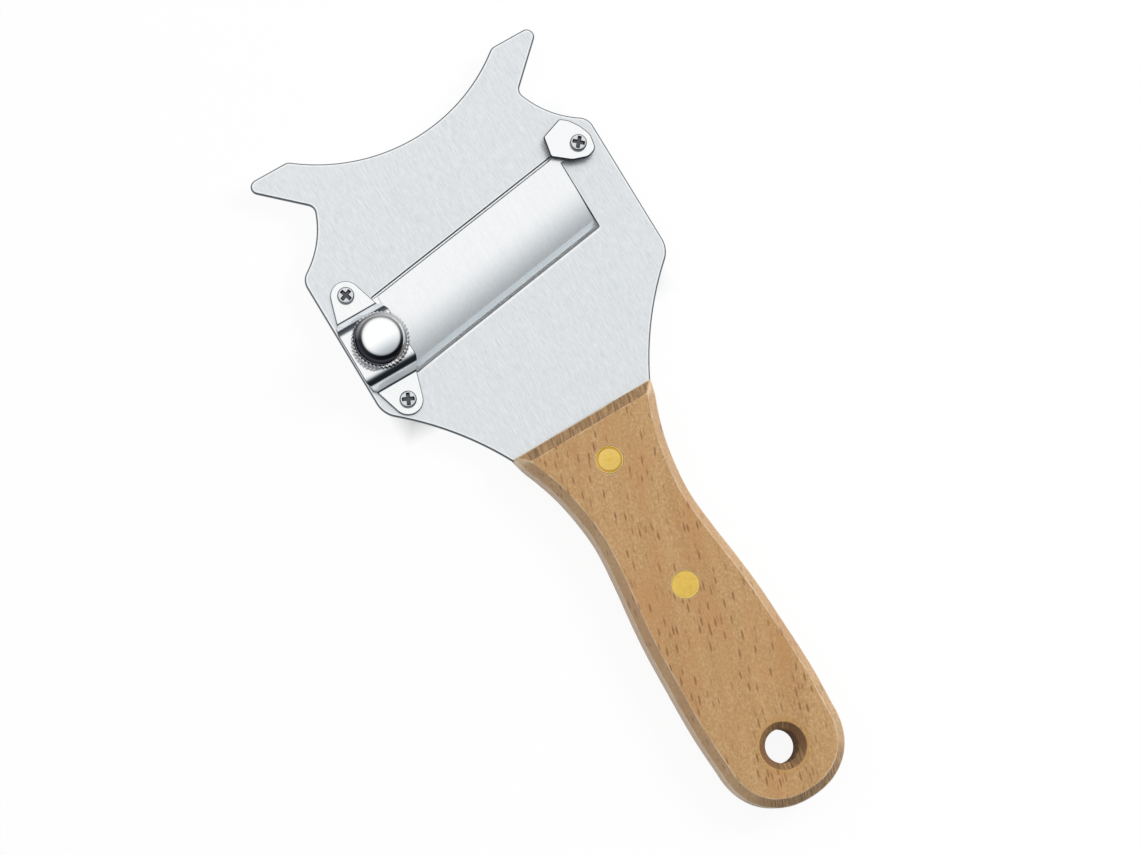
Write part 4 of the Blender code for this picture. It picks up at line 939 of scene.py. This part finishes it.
def makeBeech(w=wood):
    beech, tree, shader = newMaterial("oiled beech", "beech")
    fibre = useGroup(tree, grain, Fleck_length=w["fleckLength"], Fleck_width=w["fleckWidth"], Slant=w["slant"])
    used = useGroup(tree, wear, Scale=160.0, Rim_amount=0.5)
    coords = coordsOf(tree)
    upright = absolute(axisOf(coords["Normal"], "Z"))
    holeCentre = (0.0, (handle["hole"][0] + float(toFrame[1])) / 1000, 0.0)
    bored = spread(vectorCalc("DISTANCE", stretched(coords["Object"], (1.0, 1.0, 0.0)), holeCentre), *w["boreRange"])
    endGrain = layered(w["endDark"], (spread(fibre["Ends"], 0.40, 0.62), w["endLight"]))
    # painted highlight along the rounded edges, kept out of the hole
    pale = times(spread(used["Rim"], 0.15, 0.34, 0.0, 0.6), minus(1.0, bored))
    colour = layered(
        w["dark"],
        (spread(fibre["Bands"], 0.25, 0.75), w["light"]),
        (spread(fibre["Fibres"], 0.35, 0.75, 0.0, 0.30), w["fibre"]),
        (spread(fibre["Speckle"], 0.48, 0.66, 0.0, 0.6), w["speckDark"]),
        (spread(fibre["Speckle"], 0.50, 0.34, 0.0, 0.40), w["speckLight"]),
        (spread(fibre["Patches"], 0.46, 0.68, 0.0, 0.7), w["patch"]),
        (times(fibre["Flecks"], 0.8), w["fleck"]),
        (spread(upright, 0.9, 0.5, 0.0, 0.36), w["side"]),  # painted sheen: the sides paler and greyer
        # painted shade in the hanging hole: its bore and countersink darker
        (times(bored, spread(upright, 0.97, 0.85, 0.0, 0.85)), w["bore"]),
        (times(fibre["End mask"], 0.85), endGrain),
        (pale, w["rim"]))
    rough = spread(plus(fibre["Fibres"], times(used["Grime"], 0.5)), 0.5, 1.0, *w["roughness"])
    height = minus(fibre["Fibres"], times(fibre["Flecks"], 0.9))
    dress(shader, colour, larger(rough, times(bored, w["boreRough"])), height, w["bump"], w["bumpStrength"])
    return beech


# side section from the back to the front: flat chamfers whose two edges are softened, in shares of the inset
def makeHandle(h=handle):
    outline = handleOutline()
    steps = outwardSteps(outline)
    front = outline[:, 1] == 0
    near = (outline[:, 1] > -10) & ~front  # the same side line there, moved along x only
    steps[near] = np.column_stack(((steps[near] ** 2).sum(axis=1) / steps[near, 0], np.zeros(near.sum())))
    steps[front] = np.column_stack((outline[front, 0] / h["frontHalf"] * np.abs(steps[front, 0]).max(),
                                    np.full(front.sum(), h["frontChamfer"] / h["chamfer"])))
    edge, soft, deep = h["half"], h["soft"], h["chamfer"]
    flat = deep + 1.03 * soft
    chamfers = easedProfile([(flat, -edge), (deep, -edge), (0, deep - edge), (0, edge - deep), (deep, edge),
                             (flat, edge)], [2 * soft, soft, soft, 2 * soft], 6)
    holeY, holeRadius, sink = h["hole"]
    bore = easedProfile([(-sink - 0.6, -edge), (-sink, -edge), (0, sink - edge), (0, edge - sink), (-sink, edge),
                         (-sink - 0.6, edge)], [0.3, 0.25, 0.25, 0.3], 4)
    headRadius, headDepth, barrelRadius = h["rivetSeat"]
    seat, inner = edge - headDepth - 0.2, headRadius - barrelRadius
    rivetSeat = easedProfile([(-0.2, -edge), (0, -edge), (0, -seat), (inner, -seat), (inner, seat), (0, seat),
                              (0, edge), (-0.2, edge)], [0.08, 0, 0.1, 0.1, 0, 0.08], 2)
    stacks = [carried(outline, chamfers, steps), carried(circleLoop(0, holeY, holeRadius, 96), bore)]
    stacks += [carried(circleLoop(0, y, headRadius, 64), rivetSeat) for y in plate["rivets"].values()]
    sheet("handle_block", stacks, makeBeech(), "wood_handle")


makeHandle()
print("handle done")


# Rivets: a pin half in front, with a fine rim ring, and a barrel half from the back.

rivet = {"head": 4.0, "height": 1.8, "barrel": 2.5, "pin": 1.5, "edge": 0.3,
         "groove": {"front": (3.35, 0.45), "rear": (3.5, 0.06)}}


# two turned profiles that meet inside the handle
def makeRivet(end, y, r=rivet):
    # edge colour: a painted highlight on rounded edges
    brass = turnedMetal(
        end + " rivet brass", "brass", inFrame(0, y), stain=0.8, dark=(0.66, 0.41, 0.075),
        light=(0.97, 0.69, 0.17), rimColour=(0.97, 0.82, 0.45), roughness=(0.28, 0.40), bump=0.000003, grime=900.0)
    top = handle["half"]
    seat = top - r["height"]
    groove, deep = r["groove"][end]
    pin = easedProfile([(0, -seat + 1), (r["pin"], -seat + 1), (r["pin"], seat), (r["head"], seat), (r["head"], top),
                        (groove + 0.3, top), (groove, top - deep), (groove - 0.25, top - 0.02), (0, top)],
                       [0.2, 0.1, 0.1, r["edge"], 0.12, 0.1, 0.12], 4)
    turnedPiece(end + "_pin_turned", pin, 0, y, brass, "slicer", end + "_rivet_pin", sharp=60)
    hole = r["pin"] + 0.2
    barrel = easedProfile([(0, -seat), (hole, -seat), (hole, seat - 0.2), (r["barrel"], seat - 0.2),
                           (r["barrel"], -seat), (r["head"], -seat), (r["head"], -top), (0, -top)],
                          [0, 0.1, 0.1, 0.1, 0.1, r["edge"]])
    turnedPiece(end + "_barrel_turned", barrel, 0, y, brass, "slicer", end + "_rivet_barrel", sharp=60)


for end, y in plate["rivets"].items():
    makeRivet(end, y)
print("rivets done")


# Floor, light and camera. The sky's levels go from the horizon up, and the fade's from the front to the back.

studio = {
    "floor": 0.92, "floorHalf": 4.0, "floorDrop": 0.0001, "floorWhite": 0.92, "white": (1.0, 1.0, 1.0),
    "underX": (0.036, 0.046), "underMiddle": 0.061, "underY": (0.024, 0.034),
    # where the floor under the blade's cut corner is painted white
    "cornerX": (-0.0296, -0.0310), "cornerY": (0.0650, 0.0662),
    "sky": [(0.0, 0.62), (0.12, 0.58), (0.27, 0.50), (0.54, 0.52), (0.60, 1.0), (0.86, 1.03), (1.0, 1.03)],
    "fade": [(0.23, 0.25), (0.40, 0.41), (0.47, 0.48), (0.59, 0.56), (0.71, 0.71), (0.84, 0.86), (0.97, 0.96),
             (1.0, 1.0)],
    "skyTilt": math.radians(12), "fadeTint": 0.06, "side": 0.8, "sideWay": (0.92, 0.39, 0.0),
    "keyTilt": math.radians(48), "keyDistance": 0.9, "keySize": 0.4, "keyPower": 4.2,
    "lens": 85.263, "eye": (-0.1292, -0.0438, 0.75275),
    "right": (0.84919, -0.51728, 0.10623), "up": (0.50155, 0.85301, 0.14431), "back": (-0.16526, -0.06926, 0.98381),
}


def makeFloor(s=studio):
    mesh, half = bpy.data.meshes.new("floor"), s["floorHalf"]
    corners = [(x, y, -s["floorDrop"]) for x, y in ((-half, -half), (half, -half), (half, half), (-half, half))]
    mesh.from_pydata(corners, [], [(0, 1, 2, 3)])
    placed("floor", mesh)
    material, tree, shader = newMaterial("pale floor", "none", Roughness=0.9, Base_Color=(s["floor"],) * 3,
                                         Specular_IOR_Level=0.0)
    paths = addNode(tree, "ShaderNodeLightPath").outputs
    seen = larger(paths["Is Camera Ray"], larger(paths["Is Glossy Ray"], paths["Is Transmission Ray"]))
    at = coordsOf(tree)["Object"]
    x, y = axisOf(at, "X"), axisOf(at, "Y")
    outside = larger(spread(absolute(x), *s["underX"]), spread(absolute(minus(y, s["underMiddle"])), *s["underY"]))
    corner = times(spread(x, *s["cornerX"]), spread(y, *s["cornerY"]))
    seen = times(seen, larger(outside, corner))  # under the window the floor shows its own shade, not white, but under the blade's cut corner it is painted white
    white = addNode(tree, "ShaderNodeEmission").outputs[0]
    mixed = addNode(tree, "ShaderNodeMixShader", None, n0=times(seen, s["floorWhite"]), n1=shader.outputs[0],
                    n2=white).outputs[0]
    below = addNode(tree, "ShaderNodeNewGeometry").outputs["Backfacing"]  # seen from below, the floor is not there
    clear = addNode(tree, "ShaderNodeBsdfTransparent").outputs[0]
    mixed = addNode(tree, "ShaderNodeMixShader", None, n0=below, n1=mixed, n2=clear).outputs[0]
    feed(tree.nodes["Material Output"].inputs["Surface"], mixed)
    mesh.materials.append(material)


# a ramp of grey levels; the darker, the bluer by its tint
def makeRamp(fac, levels, tint=0.0):
    ramp = addNode(fac.id_data, "ShaderNodeValToRGB", None, Fac=fac)
    stops = ramp.color_ramp.elements
    while len(stops) < len(levels):
        stops.new(0.5)
    for stop, (position, level) in zip(stops, levels):
        cool = tint * min(1.0, (1 - level) * 2.5)
        stop.position, stop.color = position, (level * (1 - cool), level, level * (1 + cool * 0.7), 1.0)
    return ramp.outputs["Color"]


# sky: levels along a tilted up, times levels from front to back, with a plain panel low at one side
def makeWorld(s=studio):
    world = bpy.data.worlds.new("studio")
    world.use_nodes = True
    bpy.context.scene.world = world
    tree = world.node_tree
    direction = coordsOf(tree)["Generated"]
    facing = vectorCalc("DOT_PRODUCT", direction, (0.0, math.sin(s["skyTilt"]), math.cos(s["skyTilt"])))
    sky = stretched(makeRamp(facing, s["sky"]), makeRamp(plus(axisOf(direction, "Y"), 1.0), s["fade"], s["fadeTint"]))
    height = axisOf(direction, "Z")
    aside = vectorCalc("DOT_PRODUCT", direction, s["sideWay"])
    sky = layered(sky, (times(spread(aside, 0.45, 0.85), spread(height, 0.55, 0.35)), (s["side"],) * 3))
    paths = addNode(tree, "ShaderNodeLightPath").outputs
    low = times(paths["Is Glossy Ray"], spread(height, 0.0, -0.05))  # metal sees white under the horizon
    seen = larger(larger(paths["Is Camera Ray"], paths["Is Transmission Ray"]), low)
    feed(tree.nodes["Background"].inputs["Color"], layered(sky, (seen, s["white"])))


def makeKey(s=studio):
    lamp = bpy.data.lights.new("key", "AREA")
    lamp.energy, lamp.size = s["keyPower"], s["keySize"]
    key = placed("key", lamp)
    key.location = (s["keyDistance"] * math.sin(s["keyTilt"]), 0.0, s["keyDistance"] * math.cos(s["keyTilt"]))
    key.rotation_euler = (0, s["keyTilt"], 0)
    key.visible_glossy = False


def makeCamera(s=studio):
    view = bpy.data.cameras.new("camera")
    view.lens, view.sensor_width = s["lens"], 36.0
    view.clip_start, view.clip_end = 0.01, 50.0
    camera = placed("camera", view)
    turned = Matrix((s["right"], s["up"], s["back"])).transposed().to_4x4()
    camera.matrix_world = Matrix.Translation(s["eye"]) @ turned
    bpy.context.scene.camera = camera


makeFloor()
makeWorld()
makeKey()
makeCamera()
bpy.context.scene.view_settings.view_transform = "Standard"
print("studio done")
